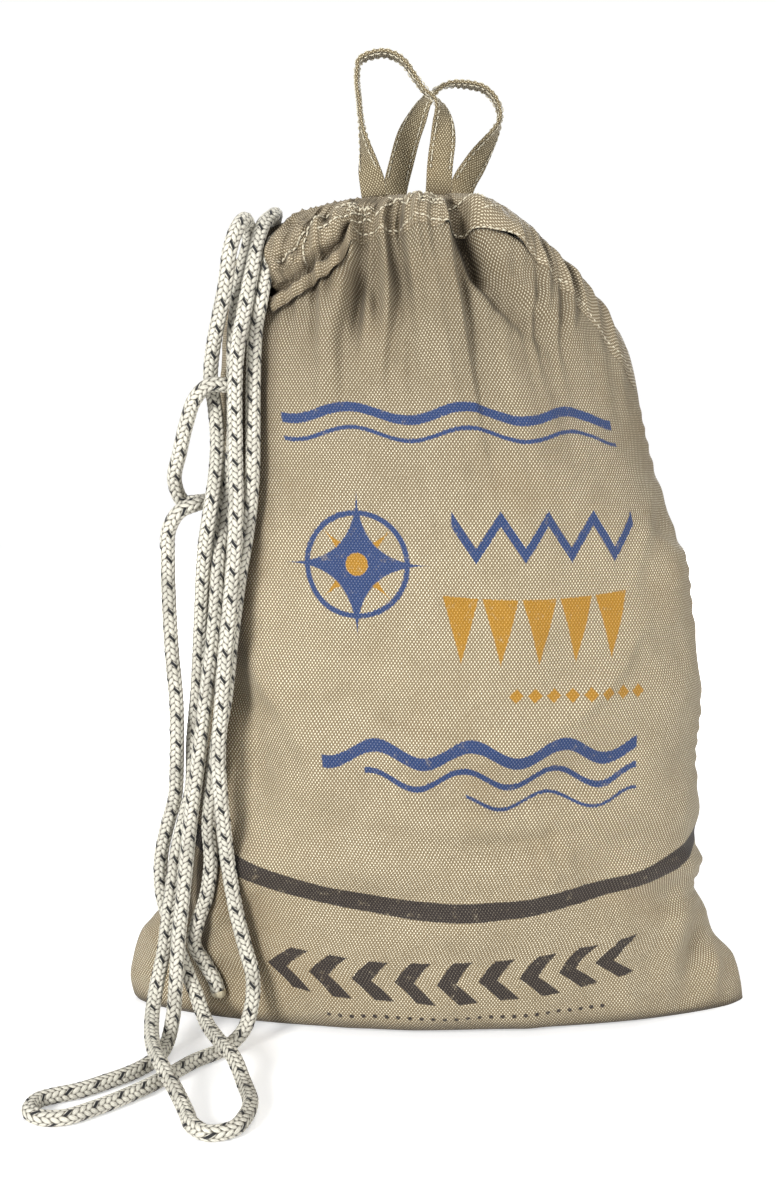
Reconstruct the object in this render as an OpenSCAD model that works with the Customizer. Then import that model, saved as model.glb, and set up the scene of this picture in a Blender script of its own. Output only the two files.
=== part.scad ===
// Drawcord sack for a throw rope: two sewn cloth panels, a hem tunnel with a
// braided drawcord, two carry loops and the line stowed inside. Millimetres, +Z up.

/* [Sack] */
// Height of the sack, floor to the highest point of its rim
bag_height = 458; // [400:1:520]
// Half width of the sack at its widest, seam to corner
half_width = 181; // [160:1:200]
// How far the filled belly stands out from the seams, front or back
belly = 74; // [66:1:90]
// Thickness of the coated canvas
cloth = 1.2; // [1:0.1:1.6]
// Half thickness of the turned-in seam allowance
seam_half = 1.3; // [1:0.1:1.8]
// How far the seam allowance reaches into the sack
seam_width = 10; // [6:1:14]
// Clearance between pieces that are sewn together
sewn_gap = 0.15; // [0.1:0.05:0.3]
// Dip of the rim at its left end
left_dip = 18; // [8:1:30]
// Fall of the rim at its right end
right_fall = 64; // [40:1:80]

/* [Hem tunnel] */
// Depth of the hem from the rim to its stitched lower edge
hem_depth = 27; // [25:1:32]
// Clearance of the hem from the panel and the cord
hem_gap = 0.3; // [0.2:0.1:0.5]
// Share of the mouth's width that the tunnel leaves bare at its left end
hem_start = 0.12; // [0.1:0.01:0.14]
// Diameter of the sewing thread
thread_d = 0.9; // [0.6:0.1:1.2]
// Number of stitches in the row along each hem
hem_stitches = 36; // [24:1:44]

/* [Drawcord] */
// Diameter of the braided cord
cord_d = 8; // [7:0.5:8]
// Length of the melted tip at each cut end
tip_length = 4; // [3:0.5:5]

/* [Carry loops] */
// Width of the loop tape
tape_width = 14; // [10:1:15]
// Thickness of the folded loop tape
tape = 2.2; // [1.6:0.1:2.8]
// Clearance between a loop's foot and the hem that it swings on
loop_gap = 0.8; // [0.7:0.1:1]

/* [Stowed line] */
// Room between the coiled throw line and the allowance of the side seam
coil_room = 9; // [8:1:30]
// Inner radius of the coiled throw line
coil_inner = 55; // [40:1:80]
// Half thickness of the coil, front to back
coil_half = 48; // [36:1:50]
// Width of the band that ties the coil
tie_width = 16; // [10:1:24]

/* [Hidden] */

// Stations up the sack: height, left and right reach and belly as shares of the
// driving sizes, then how pinched the side edge is: 1 is an ellipse, more is a fin
stations = [
    [0.000, 0.975, 1.000, 0.00, 2.6],
    [0.000, 0.975, 1.000, 0.60, 2.6],
    [0.010, 0.990, 1.000, 0.76, 2.4],
    [0.035, 1.000, 0.990, 0.84, 2.2],
    [0.070, 0.983, 0.956, 0.89, 1.8],
    [0.110, 0.939, 0.890, 0.93, 1.4],
    [0.160, 0.878, 0.845, 0.96, 1.1],
    [0.220, 0.853, 0.842, 0.99, 0.95],
    [0.300, 0.826, 0.828, 1.00, 0.90],
    [0.400, 0.812, 0.820, 1.00, 0.85],
    [0.520, 0.796, 0.813, 0.97, 0.85],
    [0.620, 0.775, 0.780, 0.92, 0.90],
    [0.700, 0.735, 0.708, 0.84, 0.95],
    [0.780, 0.691, 0.650, 0.73, 1.00],
    [0.860, 0.674, 0.592, 0.59, 0.90],
    [0.920, 0.665, 0.558, 0.45, 0.80],
    [0.970, 0.635, 0.530, 0.30, 0.80],
    [1.000, 0.575, 0.508, 0.22, 0.80]];
raised = [for (k = [1:len(stations) - 1]) stations[k]];
columns = 32;
cord_r = cord_d / 2;
cord_line = hem_gap + cord_r;
thread_r = thread_d / 2;

// ---- the sack's surface -------------------------------------------------
function share(k, v) = lookup(v, [for (s = raised) [s[0], s[k]]]);
function rim_height(w) = bag_height - left_dip * pow(max(0, 1 - w / 0.45), 2)
    - right_fall * pow(max(0, (w - 0.62) / 0.38), 1.6);
function spread(i, n) = (1 - cos(180 * i / n)) / 2;
function bulge(w, pinch) = pow(2 * sqrt(max(0, w * (1 - w))), pinch);
seam_plane = seam_half + sewn_gap;

// A point of the front cloth: w runs across from the left seam to the right one
function cloth_at(w, row, inside) =
    let (left = -row[1] * half_width + inside * cloth)
    let (right = row[2] * half_width - inside * cloth)
    let (out = seam_plane + (1 - inside) * cloth + row[3] * belly * bulge(w, row[4]))
    [left + (right - left) * w, -out, max(inside * cloth, row[0] * rim_height(w))];
function station_at(v) = [v, share(1, v), share(2, v), share(3, v), share(4, v)];
function outer(w, v) = cloth_at(w, station_at(v), 0);
function unit(a) = a / norm(a);
function across(w, v) = unit(outer(min(1, w + 0.004), v) - outer(max(0, w - 0.004), v));
function upward(w, v) = unit(outer(w, v) - outer(w, v - 0.01));
function outward(w, v) = unit(cross(across(w, v), upward(w, v)));

// How much longer the way down the cloth is where the rim slants
rim = stations[len(stations) - 1];
mouth_width = (rim[1] + rim[2]) * half_width;
function slant(w) =
    let (a = max(0, w - 0.01))
    let (b = min(1, w + 0.01))
    sqrt(1 + pow((rim_height(b) - rim_height(a)) / (mouth_width * (b - a)), 2));

// A point near the rim: u down from the rim, square to it, and n out from the cloth
function near_rim(w, u, n) =
    let (v = 1 - max(0, u) * slant(w) * 0.93 / rim_height(w))
    outer(w, v) + outward(w, v) * n + upward(w, v) * max(0, -u);

// ---- building blocks ----------------------------------------------------
// Faces of a closed grid of rings, each ring with n points, capped at both ends
function tube_faces(rings, n) = concat(
    [[for (j = [0:n - 1]) j]],
    [for (i = [0:rings - 2]) for (j = [0:n - 1])
        [i * n + j, (i + 1) * n + j, (i + 1) * n + (j + 1) % n]],
    [for (i = [0:rings - 2]) for (j = [0:n - 1])
        [i * n + j, (i + 1) * n + (j + 1) % n, i * n + (j + 1) % n]],
    [[for (j = [n - 1:-1:0]) (rings - 1) * n + j]]);

module rings_to_solid(rings)
    polyhedron(points = [for (r = rings) each r],
               faces = tube_faces(len(rings), len(rings[0])), convexity = 8);

// A thin sheet: its front grid and its back grid, joined round the edge
function grid_faces(rows, cols) =
    let (at = function (layer, i, j) layer * rows * cols + i * cols + j)
    concat(
        [for (i = [0:rows - 2]) for (j = [0:cols - 2])
            each [[at(0, i, j), at(0, i + 1, j), at(0, i + 1, j + 1)],
                  [at(0, i, j), at(0, i + 1, j + 1), at(0, i, j + 1)],
                  [at(1, i, j), at(1, i + 1, j + 1), at(1, i + 1, j)],
                  [at(1, i, j), at(1, i, j + 1), at(1, i + 1, j + 1)]]],
        [for (j = [0:cols - 2])
            each [[at(0, 0, j), at(0, 0, j + 1), at(1, 0, j + 1)],
                  [at(0, 0, j), at(1, 0, j + 1), at(1, 0, j)],
                  [at(0, rows - 1, j), at(1, rows - 1, j + 1), at(0, rows - 1, j + 1)],
                  [at(0, rows - 1, j), at(1, rows - 1, j), at(1, rows - 1, j + 1)]]],
        [for (i = [0:rows - 2])
            each [[at(0, i, 0), at(1, i, 0), at(1, i + 1, 0)],
                  [at(0, i, 0), at(1, i + 1, 0), at(0, i + 1, 0)],
                  [at(0, i, cols - 1), at(1, i + 1, cols - 1), at(1, i, cols - 1)],
                  [at(0, i, cols - 1), at(0, i + 1, cols - 1), at(1, i + 1, cols - 1)]]]);

// A round tube through hand-placed points, one ring at each point. start and end
// may give the direction in which it is cut off there
function tube_ring(p, t, side, r, n) =
    let (a = unit(cross(t, side)))
    let (b = cross(a, t))
    [for (j = [0:n - 1]) p + r * (cos(360 * j / n) * a + sin(360 * j / n) * b)];
function way(p, i) = unit(p[min(len(p) - 1, i + 1)] - p[max(0, i - 1)]);
// A direction square to the run at each point, carried along without twisting
cord_side = [0.31, 0.87, 0.38];
function sides(p, i = 0, s = cord_side, list = []) = i == len(p) ? list
    : let (t = way(p, i))
      let (next = unit(s - t * (s * t)))
      sides(p, i + 1, next, concat(list, [next]));

module cord(points, n = 10, start = undef, end = undef) {
    turned = sides(points);
    last = len(points) - 1;
    rings_to_solid([for (i = [0:last])
        tube_ring(points[i],
                  i == 0 && !is_undef(start) ? start
                      : i == last && !is_undef(end) ? end : way(points, i),
                  turned[i], cord_r, n)]);
}

// One stitch: a straight bit of thread from a to b
module stitch(a, b) {
    d = b - a;
    translate(a)
        rotate([0, acos(d[2] / norm(d)), atan2(d[1], d[0])])
            cylinder(h = norm(d), r = thread_r, $fn = 16);
}

// ---- panels and seams ---------------------------------------------------
module panel() {
    front = [for (s = stations) for (i = [0:columns]) cloth_at(spread(i, columns), s, 0)];
    back = [for (s = stations) for (i = [0:columns]) cloth_at(spread(i, columns), s, 1)];
    polyhedron(points = concat(front, back),
               faces = grid_faces(len(stations), columns + 1), convexity = 8);
}

module front_panel() { color([0.71, 0.66, 0.56]) panel(); }

module back_panel() { color([0.69, 0.64, 0.54]) mirror([0, 1, 0]) panel(); }

// The allowance of a side seam: a flat strip that follows the panel's edge
module side_seam(k, direction, w) {
    edge = [for (s = raised) if (s[0] * rim_height(w) > seam_width + 3 && s[0] < 1)
        [direction * (s[k] * half_width - sewn_gap), s[0] * rim_height(w)]];
    inner = [for (i = [len(edge) - 1:-1:0]) edge[i] - [direction * seam_width, 0]];
    color([0.66, 0.61, 0.52])
        rotate([90, 0, 0])
            linear_extrude(height = 2 * seam_half, center = true)
                polygon(concat(edge, inner));
}

module side_seam_left() { side_seam(1, -1, 0); }

module side_seam_right() { side_seam(2, 1, 1); }

module bottom_seam() {
    left = -stations[0][1] * half_width + cloth;
    right = stations[0][2] * half_width - cloth;
    color([0.66, 0.61, 0.52])
        translate([left, -seam_half, 0])
            cube([right - left, 2 * seam_half, seam_width]);
}

// ---- hem tunnel ---------------------------------------------------------
// The hem in section: distance down from the rim, distance out from the panel
wall_in = hem_gap + cord_d + hem_gap;
wall_out = wall_in + cloth;
hem_section = [
    [hem_depth, hem_gap], [hem_depth, hem_gap + cloth], [20, 3.4],
    [16.8, wall_out - 2.2], [13.5, wall_out - 0.3], [9.5, wall_out - 0.3],
    [6, wall_out - 2], [2.5, wall_out - 5], [-1.7, 1.8],
    [-1.7, -cloth], [-0.4, -cloth], [-0.4, hem_gap], [2.2, hem_gap + 1.1],
    [6.6, wall_in - 1.6], [9.8, wall_in], [13.2, wall_in],
    [16, wall_in - 1.6], [19.2, 2.0], [25.4, hem_gap]];
hem_columns = [for (i = [0:columns]) if (spread(i, columns) >= hem_start) spread(i, columns)];

module hem() {
    body = [for (w = hem_columns) [for (q = hem_section) near_rim(w, q[0], q[1])]];
    last = body[len(body) - 1];
    rings_to_solid(concat(body, [[for (q = last) [q[0], -sewn_gap, q[2]]]]));
}

module front_hem() { color([0.73, 0.68, 0.58]) hem(); }

module back_hem() { color([0.70, 0.65, 0.55]) mirror([0, 1, 0]) hem(); }

// The row of stitches that closes the tunnel along the hem's lower edge
stitch_down = 23.5;
stitch_out = 2.5 + sewn_gap + thread_r;
module hem_stitch_row() {
    first = hem_columns[0] + 0.02;
    step = (0.985 - first) / hem_stitches;
    for (k = [0:hem_stitches - 1])
        stitch(near_rim(first + k * step, stitch_down, stitch_out),
               near_rim(first + (k + 0.7) * step, stitch_down, stitch_out));
}

module front_hem_stitching() { color([0.86, 0.83, 0.74]) hem_stitch_row(); }

module back_hem_stitching() { color([0.86, 0.83, 0.74]) mirror([0, 1, 0]) hem_stitch_row(); }

// ---- drawcord -----------------------------------------------------------
// The cord leaves the tunnel at its bare left end: one tail through the front,
// the other from the back hem and over the rim
short_exit = [-90, -22, 436];
long_exit = [-88, 22, 440];
cord_down = 11.5;
function in_tunnel(w) = near_rim(w, cord_down, cord_line);
function flipped(p) = [p[0], -p[1], p[2]];
tunnel_front = [for (w = hem_columns) in_tunnel(w)];
tunnel_back = [for (k = [len(tunnel_front) - 1:-1:0]) flipped(tunnel_front[k])];
tunnel_route = concat([short_exit], tunnel_front, tunnel_back, [long_exit]);

floor_z = cord_r + 0.2;
hump_z = 3 * cord_r + 1.2;

// The long tail, in the order in which it runs: it is gathered up in bights
long_tail = concat(
    // over the rim and down the front
    [long_exit, [-92, 20, 444], [-93, 14, 449], [-92, 5, 452], [-91, -5, 452],
     [-92, -13, 450], [-96, -22, 445], [-99, -32, 434],
     [-102, -40, 415], [-106, -44, 393], [-109, -48, 374], [-110, -51, 355],
     [-110, -52, 324], [-109, -63, 290], [-111, -66, 256], [-115, -66, 218],
     [-118, -64, 186], [-120, -63, 158], [-118, -63, 125], [-116, -59, 99],
     [-112, -59, 73], [-107, -60, 52]],
    // the bight that lies out to the left on the floor
    [[-103, -63, 38], [-103, -67, 24], [-107, -73, 11], [-116, -83, 5],
     [-131, -98, floor_z], [-145, -120, floor_z], [-160, -139, floor_z],
     [-174, -153, floor_z], [-186, -162, floor_z], [-197, -162, floor_z],
     [-204, -155, floor_z], [-203, -144, floor_z], [-195, -138, floor_z],
     [-185, -133, floor_z], [-173, -123, floor_z], [-160, -110, floor_z],
     [-151, -93, floor_z], [-148, -80, 6], [-146, -70, 16]],
    // up again behind the first fall
    [[-145, -63, 34], [-144, -57, 56], [-142, -54, 77], [-139, -53, 104],
     [-136, -55, 128], [-132, -57, 154], [-128, -57, 183], [-124, -57, 212],
     [-121, -55, 240], [-119, -52, 270], [-115, -46, 302], [-112, -39, 329],
     [-112, -34, 356], [-112, -32, 383], [-110, -30, 404], [-107, -26, 422]],
    // the bight at the top, over the sack's left shoulder
    [[-104, -22, 437], [-105, -28, 446], [-108, -39, 442], [-112, -46, 429],
     [-115, -45, 410]],
    // the second fall
    [[-119, -41, 394], [-123, -36, 377], [-125, -31, 362], [-123, -31, 347],
     [-121, -38, 329], [-121, -49, 310], [-123, -58, 292], [-127, -55, 268],
     [-130, -48, 235], [-133, -44, 193], [-136, -43, 164], [-137, -43, 139],
     [-141, -43, 122], [-145, -45, 106], [-148, -46, 86], [-151, -46, 66],
     [-153, -50, 48], [-156, -60, 31]],
    // the bight that lies out to the front, over the left one
    [[-157, -71, 19], [-153, -96, hump_z], [-144, -123, hump_z], [-134, -142, 8],
     [-127, -157, floor_z], [-123, -169, floor_z], [-114, -178, floor_z],
     [-103, -174, floor_z], [-98, -161, floor_z], [-97, -145, floor_z],
     [-102, -127, 6], [-109, -110, 12], [-119, -91, hump_z], [-128, -71, 15]],
    // up on the left edge of the bundle and out to the side
    [[-135, -58, 26], [-143, -48, 40], [-149, -38, 53], [-155, -34, 68],
     [-157, -33, 82], [-156, -34, 98], [-152, -36, 115], [-147, -40, 132],
     [-145, -46, 150], [-144, -50, 169], [-144, -50, 188], [-146, -50, 216],
     [-147, -50, 243], [-147, -51, 265]],
    // the small bight tucked behind the bundle, and the end that goes in behind it
    [[-146, -53, 281], [-140, -54, 291], [-131, -49, 295], [-127, -39, 296],
     [-133, -30, 295], [-141, -29, 295], [-145, -35, 307], [-141, -40, 323],
     [-137, -42, 338], [-132, -43, 351], [-124, -44, 358], [-115, -42, 358]]);

// The short tail: down the front of the sack, ending in a half turn
short_tail = [short_exit, [-92, -31, 427], [-95, -35, 414], [-97, -38, 402],
    [-100, -35, 388], [-101, -40, 361], [-101, -46, 334], [-101, -51, 313],
    [-103, -55, 287], [-108, -57, 257], [-113, -57, 222], [-117, -55, 189],
    [-122, -54, 164], [-125, -52, 141], [-127, -52, 119], [-126, -53, 99],
    [-129, -51, 79], [-135, -48, 61], [-137, -46, 49], [-132, -43, 38],
    [-126, -45, 28], [-124, -46, 22]];

short_way = unit([-0.5, -0.7, -0.5]);
long_way = unit([-0.85, -0.2, 0.35]);

module drawcord_in_hem()
    color([0.88, 0.87, 0.82]) cord(tunnel_route, start = -short_way, end = long_way);

module drawcord_long_tail() color([0.90, 0.89, 0.85]) cord(long_tail, start = long_way);

module drawcord_short_tail() color([0.90, 0.89, 0.85]) cord(short_tail, start = short_way);

// A melted tip: a short domed cap that carries on from the cord's cut end
module melted_tip(points) {
    last = len(points) - 1;
    t = way(points, last);
    s = sides(points)[last];
    caps = [[0, 1], [0.45, 1.0], [0.8, 0.72], [1, 0.3]];
    color([0.80, 0.76, 0.66])
        rings_to_solid([for (c = caps)
            tube_ring(points[last] + t * tip_length * c[0], t, s, cord_r * c[1], 10)]);
}

module long_tail_tip() { melted_tip(long_tail); }

module short_tail_tip() { melted_tip(short_tail); }

// ---- carry loops --------------------------------------------------------
// The loops stand on the rim: their feet are where the hem's top is
front_foot_y = -18.5;
back_foot_y = 18.5;
foot_z = bag_height + 1.7 + loop_gap;
// Each point: x, distance from the foot's plane, height over the foot, and how far
// the tape is turned about its own run, in degrees (0 faces front, 90 is edge on)
front_loop = [
    [-36, 0, 0, 0], [-37, 0, 6, 10], [-39, 0, 14, 35], [-41, 0, 24, 65],
    [-43, 0, 36, 85], [-44.5, -0.5, 50, 90], [-45, -1, 60, 90], [-43.5, -1.5, 68, 90],
    [-38, -1.5, 72, 90], [-30, -1.5, 73, 90], [-22, -1, 70, 90], [-15, -0.5, 62, 90],
    [-8.5, 0, 54.5, 88], [-3, 0, 50, 80], [0, 0, 45, 60], [1, 0, 38, 35],
    [0.8, 0, 30, 15], [0, 0, 20, 0], [-1, 0, 10, 0], [-2, 0, 0, 0]];
back_loop = [
    [-26, 0, 0, 0], [-24, 0, 12, 0], [-21, 0, 25, 5], [-16, 0, 40, 20],
    [-10, 0, 53, 50], [-3, 0, 62, 75], [5, 0, 66, 85], [14, 0, 66, 90],
    [23, 0, 63, 90], [30, 0, 57, 90], [33.5, 0, 49, 90], [31, 0, 40, 75],
    [26, 0, 31, 50], [20, 0, 22, 25], [14, 0, 11, 5], [10, 0, 0, 0]];

module tape_loop(path, foot_y) {
    last = len(path) - 1;
    run = [for (q = path) [q[0], q[1], q[2]]];
    rings_to_solid([for (i = [0:last])
        let (q = path[i])
        let (t = i == 0 ? [0, 0, 1] : i == last ? [0, 0, -1] : way(run, i))
        let (face = unit(cross(t, [0, 1, 0])))
        let (wide = face * cos(q[3]) + [0, 1, 0] * sin(q[3]))
        let (flat = unit(wide - t * (wide * t)))
        let (thick = cross(t, flat))
        let (p = [q[0], foot_y + q[1], foot_z + q[2]])
        [p - flat * tape_width / 2 - thick * tape / 2,
         p + flat * tape_width / 2 - thick * tape / 2,
         p + flat * tape_width / 2 + thick * tape / 2,
         p - flat * tape_width / 2 + thick * tape / 2]]);
}

module front_carry_loop() { color([0.72, 0.68, 0.57]) tape_loop(front_loop, front_foot_y); }

module back_carry_loop() { color([0.70, 0.66, 0.55]) tape_loop(back_loop, back_foot_y); }

// Bar tacks: short rows of thread across the hem under each foot of a loop
tack_rows = 3;
tack_pitch = 1.6;
tack_down = 9.6;
function mouth_share(x) = (x + rim[1] * half_width) / mouth_width;
module loop_tacks(path) {
    out = wall_out - hem_gap + sewn_gap + thread_r + 0.2;
    for (foot = [path[0][0], path[len(path) - 1][0]])
        for (k = [0:tack_rows - 1])
            stitch(near_rim(mouth_share(foot - tape_width / 2), tack_down + k * tack_pitch, out),
                   near_rim(mouth_share(foot + tape_width / 2), tack_down + k * tack_pitch, out));
}

module front_loop_tacks() { color([0.86, 0.83, 0.74]) loop_tacks(front_loop); }

module back_loop_tacks() { color([0.86, 0.83, 0.74]) mirror([0, 1, 0]) loop_tacks(back_loop); }

// ---- stowed line --------------------------------------------------------
coil_level = 0.3;
coil_outer = share(2, coil_level) * half_width - seam_width - coil_room;
coil_mid = (coil_outer + coil_inner) / 2;
coil_z = seam_width + hem_gap + coil_outer;
tie_gap = 1;
function coil_section(grow) = [for (k = [0:19])
    let (a = 18 * k)
    [coil_mid + (grow + (coil_outer - coil_inner) / 2) * cos(a), (grow + coil_half) * sin(a)]];

module throw_line_coil() {
    color([0.80, 0.62, 0.22])
        translate([0, 0, coil_z])
            rotate([90, 0, 0])
                rotate_extrude($fn = 64)
                    polygon(coil_section(0));
}

// The tie: a band that goes round the coil's section at its top
module coil_tie() {
    color([0.30, 0.30, 0.32])
        translate([-tie_width / 2, 0, coil_z])
            rotate([0, 90, 0])
                rotate([0, 0, 180])
                    linear_extrude(height = tie_width)
                        difference() {
                            polygon(coil_section(tie_gap + 2));
                            polygon(coil_section(tie_gap));
                        }
}

front_panel();
back_panel();
side_seam_left();
side_seam_right();
bottom_seam();
front_hem();
back_hem();
front_hem_stitching();
back_hem_stitching();
drawcord_in_hem();
drawcord_long_tail();
drawcord_short_tail();
long_tail_tip();
short_tail_tip();
front_carry_loop();
back_carry_loop();
front_loop_tacks();
back_loop_tacks();
throw_line_coil();
coil_tie();
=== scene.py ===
"""A standing drawcord sack of coarse coated canvas with its cord, dressed over the CAD frame."""

import math

import bpy
import numpy as np
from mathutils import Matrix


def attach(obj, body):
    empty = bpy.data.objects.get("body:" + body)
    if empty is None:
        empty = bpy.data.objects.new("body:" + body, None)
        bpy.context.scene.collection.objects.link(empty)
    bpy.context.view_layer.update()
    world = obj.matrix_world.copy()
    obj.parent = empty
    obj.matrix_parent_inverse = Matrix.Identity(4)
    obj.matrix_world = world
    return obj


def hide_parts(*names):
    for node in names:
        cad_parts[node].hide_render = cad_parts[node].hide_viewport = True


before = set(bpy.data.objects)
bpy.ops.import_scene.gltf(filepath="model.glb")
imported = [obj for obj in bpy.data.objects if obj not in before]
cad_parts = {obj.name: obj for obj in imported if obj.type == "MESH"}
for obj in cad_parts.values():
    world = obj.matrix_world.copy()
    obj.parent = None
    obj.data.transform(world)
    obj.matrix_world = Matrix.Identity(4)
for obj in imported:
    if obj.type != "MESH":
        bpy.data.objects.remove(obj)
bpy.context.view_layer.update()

# ---- Camera -----------------------------------------------------------------
# The picture is taken at arm's length, from a little above and seven degrees downwards.
view = bpy.data.objects.new("camera", bpy.data.cameras.new("camera"))
bpy.context.scene.collection.objects.link(view)
view.location = (-0.028, -0.853, 0.342)
view.rotation_euler = (math.radians(83), 0, 0)
view.data.sensor_fit = "HORIZONTAL"
view.data.sensor_width = 36
view.data.lens = 69.32
bpy.context.scene.camera = view


# ---- Drawcord, long tail ----------------------------------------------------
# Eight millimetre polyester cord, braided from sixteen off-white strands, two of them
# with a black tracer yarn. It leaves the tunnel behind the rim, falls in front of the sack
# and is gathered up in bights; its cut end is melted and tucked in behind the bundle.
def through(points, step):
    """Points every step metres along a smooth curve through given points.

    Centripetal Catmull-Rom: each point gets a knot, spaced by the square root of the
    distance to the next, and every span blends its four nearest points in three rounds.
    Columns after the third, such as a twist, are carried along."""
    p = np.asarray(points, float)
    p = np.vstack([2 * p[0] - p[1], p, 2 * p[-1] - p[-2]])
    gap = np.sqrt(np.linalg.norm(np.diff(p[:, :3], axis=0), axis=1))
    knot = np.concatenate([[0], np.cumsum(gap)])
    k = [knot[i:len(knot) - 3 + i, None, None] for i in range(4)]
    q = [p[i:len(p) - 3 + i, None, :] for i in range(4)]
    t = k[1] + (k[2] - k[1]) * np.linspace(0, 1, 24, endpoint=False)[None, :, None]

    def between(a, b, low, high):
        return (a * (high - t) + b * (t - low)) / (high - low)

    first = [between(q[i], q[i + 1], k[i], k[i + 1]) for i in range(3)]
    second = [between(first[i], first[i + 1], k[i], k[i + 2]) for i in range(2)]
    dense = between(second[0], second[1], k[1], k[2]).reshape(-1, p.shape[1])
    dense = np.vstack([dense, p[-2]])
    run = np.concatenate([[0], np.cumsum(np.linalg.norm(np.diff(dense[:, :3], axis=0), axis=1))])
    even = np.linspace(0, run[-1], max(2, int(round(run[-1] / step))) + 1)
    return np.stack([np.interp(even, run, dense[:, c]) for c in range(p.shape[1])], 1)


def unit(a):
    """Vectors scaled to length one."""
    return a / np.maximum(np.linalg.norm(a, axis=-1, keepdims=True), 1e-12)


def arc(grid, axis=0):
    """Length along one direction of a grid of points, counted from its first line."""
    step = np.linalg.norm(np.diff(grid, axis=axis), axis=-1)
    return np.concatenate([np.zeros_like(np.take(step, [0], axis)), np.cumsum(step, axis)], axis)


def carried(path, side=(0.31, 0.87, 0.38)):
    """Directions ahead, aside and across for each point of a path, carried without twist."""
    ahead = unit(np.gradient(path, axis=0))
    aside = np.empty_like(path)
    s = np.asarray(side, float)
    for k, t in enumerate(ahead):
        s = unit(s - t * (s @ t))
        aside[k] = s
    return ahead, aside, np.cross(ahead, aside)


def mesh_piece(name, points, faces, uv):
    """A smooth mesh object with one UV per face corner."""
    mesh = bpy.data.meshes.new(name)
    mesh.from_pydata(points.reshape(-1, 3).tolist(), [], faces)
    mesh.uv_layers.new(name="cloth").data.foreach_set("uv", np.asarray(uv, np.float32).ravel())
    mesh.shade_smooth()
    piece = bpy.data.objects.new(name, mesh)
    bpy.context.scene.collection.objects.link(piece)
    return piece


def grid_corners(rows, lines, cols, flip):
    """Corners of a grid's quads: as point numbers and as places in its UV table."""
    i, j = np.meshgrid(np.arange(rows - 1), np.arange(lines - 1), indexing="ij")
    row = np.stack([i, i, i + 1, i + 1], -1).reshape(-1, 4)
    line = np.stack([j, j + 1, j + 1, j], -1).reshape(-1, 4)
    if flip:
        row, line = row[:, ::-1], line[:, ::-1]
    return row * cols + line % cols, row * lines + line


def tube(name, grid, across, along, flip=False):
    """A closed mesh over rings of points (ring, point, 3), its two ends capped.

    across gives U for each point of a ring and once more for its first; along gives V
    for each ring. Both may be whole tables."""
    rows, cols = grid.shape[:2]
    table = np.stack(np.broadcast_arrays(across, along), -1)
    table = np.broadcast_to(table, (rows, cols + 1, 2)).reshape(-1, 2)
    corners, places = grid_corners(rows, cols + 1, cols, flip)
    first = np.arange(cols) if flip else np.arange(cols)[::-1]
    last = first[::-1]
    faces = corners.tolist() + [first.tolist(), ((rows - 1) * cols + last).tolist()]
    uv = np.concatenate([table[places.ravel()], table[first], table[(rows - 1) * (cols + 1) + last]])
    return mesh_piece(name, grid, faces, uv)


# strands that wind each way, and metres from one to the next along the cord
strands = 8
pitch = 0.0036


def braid_relief(turn, run):
    """How far a braid's surface stands up, 0 to 1, at a share of a turn and metres along.

    Eight strands wind each way. Each is a rounded ridge that rises over two of the strands
    it meets and dips under the next two, and the higher one shows."""
    a = strands * turn - run / pitch
    b = strands * turn + run / pitch
    one = 0.5 * (1 - (2 * (a % 1) - 1) ** 2) + 0.5 * np.sin(np.pi / 2 * (np.floor(a) + b))
    other = 0.5 * (1 - (2 * (b % 1) - 1) ** 2) - 0.5 * np.sin(np.pi / 2 * (np.floor(b) + a))
    return np.maximum(one, other)


cord_r = 0.004


def braided(name, path, radius=cord_r, sides=48, start=0.0):
    """A braided cord along even path points; its UV is share of a turn and metres."""
    _, aside, across = carried(path)
    turn = np.arange(sides + 1) / sides
    run = start + arc(path)[:, None]
    angle = 2 * np.pi * turn[None, :-1]
    r = radius * (1.04 - 0.15 * (1 - braid_relief(turn[None, :-1], run)))
    grid = path[:, None] + r[..., None] * (
        np.cos(angle)[..., None] * aside[:, None] + np.sin(angle)[..., None] * across[:, None])
    return tube(name, grid, turn, run)


def linear(red, green, blue):
    """A colour as it is seen on a screen, 0 to 255, on the renderer's linear scale."""
    c = np.array([red, green, blue]) / 255
    c = np.where(c <= 0.04045, c / 12.92, ((c + 0.055) / 1.055) ** 2.4)
    return (*c.tolist(), 1.0)


class Value:
    """A number in a shader tree: a formula written with it adds the Math nodes it needs."""

    def __init__(self, tree, socket):
        self.tree = tree
        self.socket = socket

    def math(self, operation, *others):
        node = self.tree.nodes.new("ShaderNodeMath")
        node.operation = operation
        for slot, value in zip(node.inputs, (self, *others)):
            if isinstance(value, Value):
                self.tree.links.new(value.socket, slot)
            else:
                slot.default_value = value
        return Value(self.tree, node.outputs[0])

    def __add__(self, other):
        return self.math("ADD", other)

    def __sub__(self, other):
        return self.math("SUBTRACT", other)

    def __mul__(self, other):
        return self.math("MULTIPLY", other)

    def __truediv__(self, other):
        return self.math("DIVIDE", other)

    def __neg__(self):
        return self.math("MULTIPLY", -1.0)

    def below(self, edge, soft):
        """1 where the value is under edge, 0 where it is over it, with a soft step."""
        node = self.tree.nodes.new("ShaderNodeMapRange")
        node.interpolation_type = "SMOOTHSTEP"
        self.tree.links.new(self.socket, node.inputs["Value"])
        node.inputs["From Min"].default_value = edge - soft
        node.inputs["From Max"].default_value = edge + soft
        node.inputs["To Min"].default_value = 1.0
        node.inputs["To Max"].default_value = 0.0
        return Value(self.tree, node.outputs[0])

    def between(self, low, high, soft):
        """1 from low to high, 0 outside."""
        return self.below(high, soft) * (-self).below(-low, soft)


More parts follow.
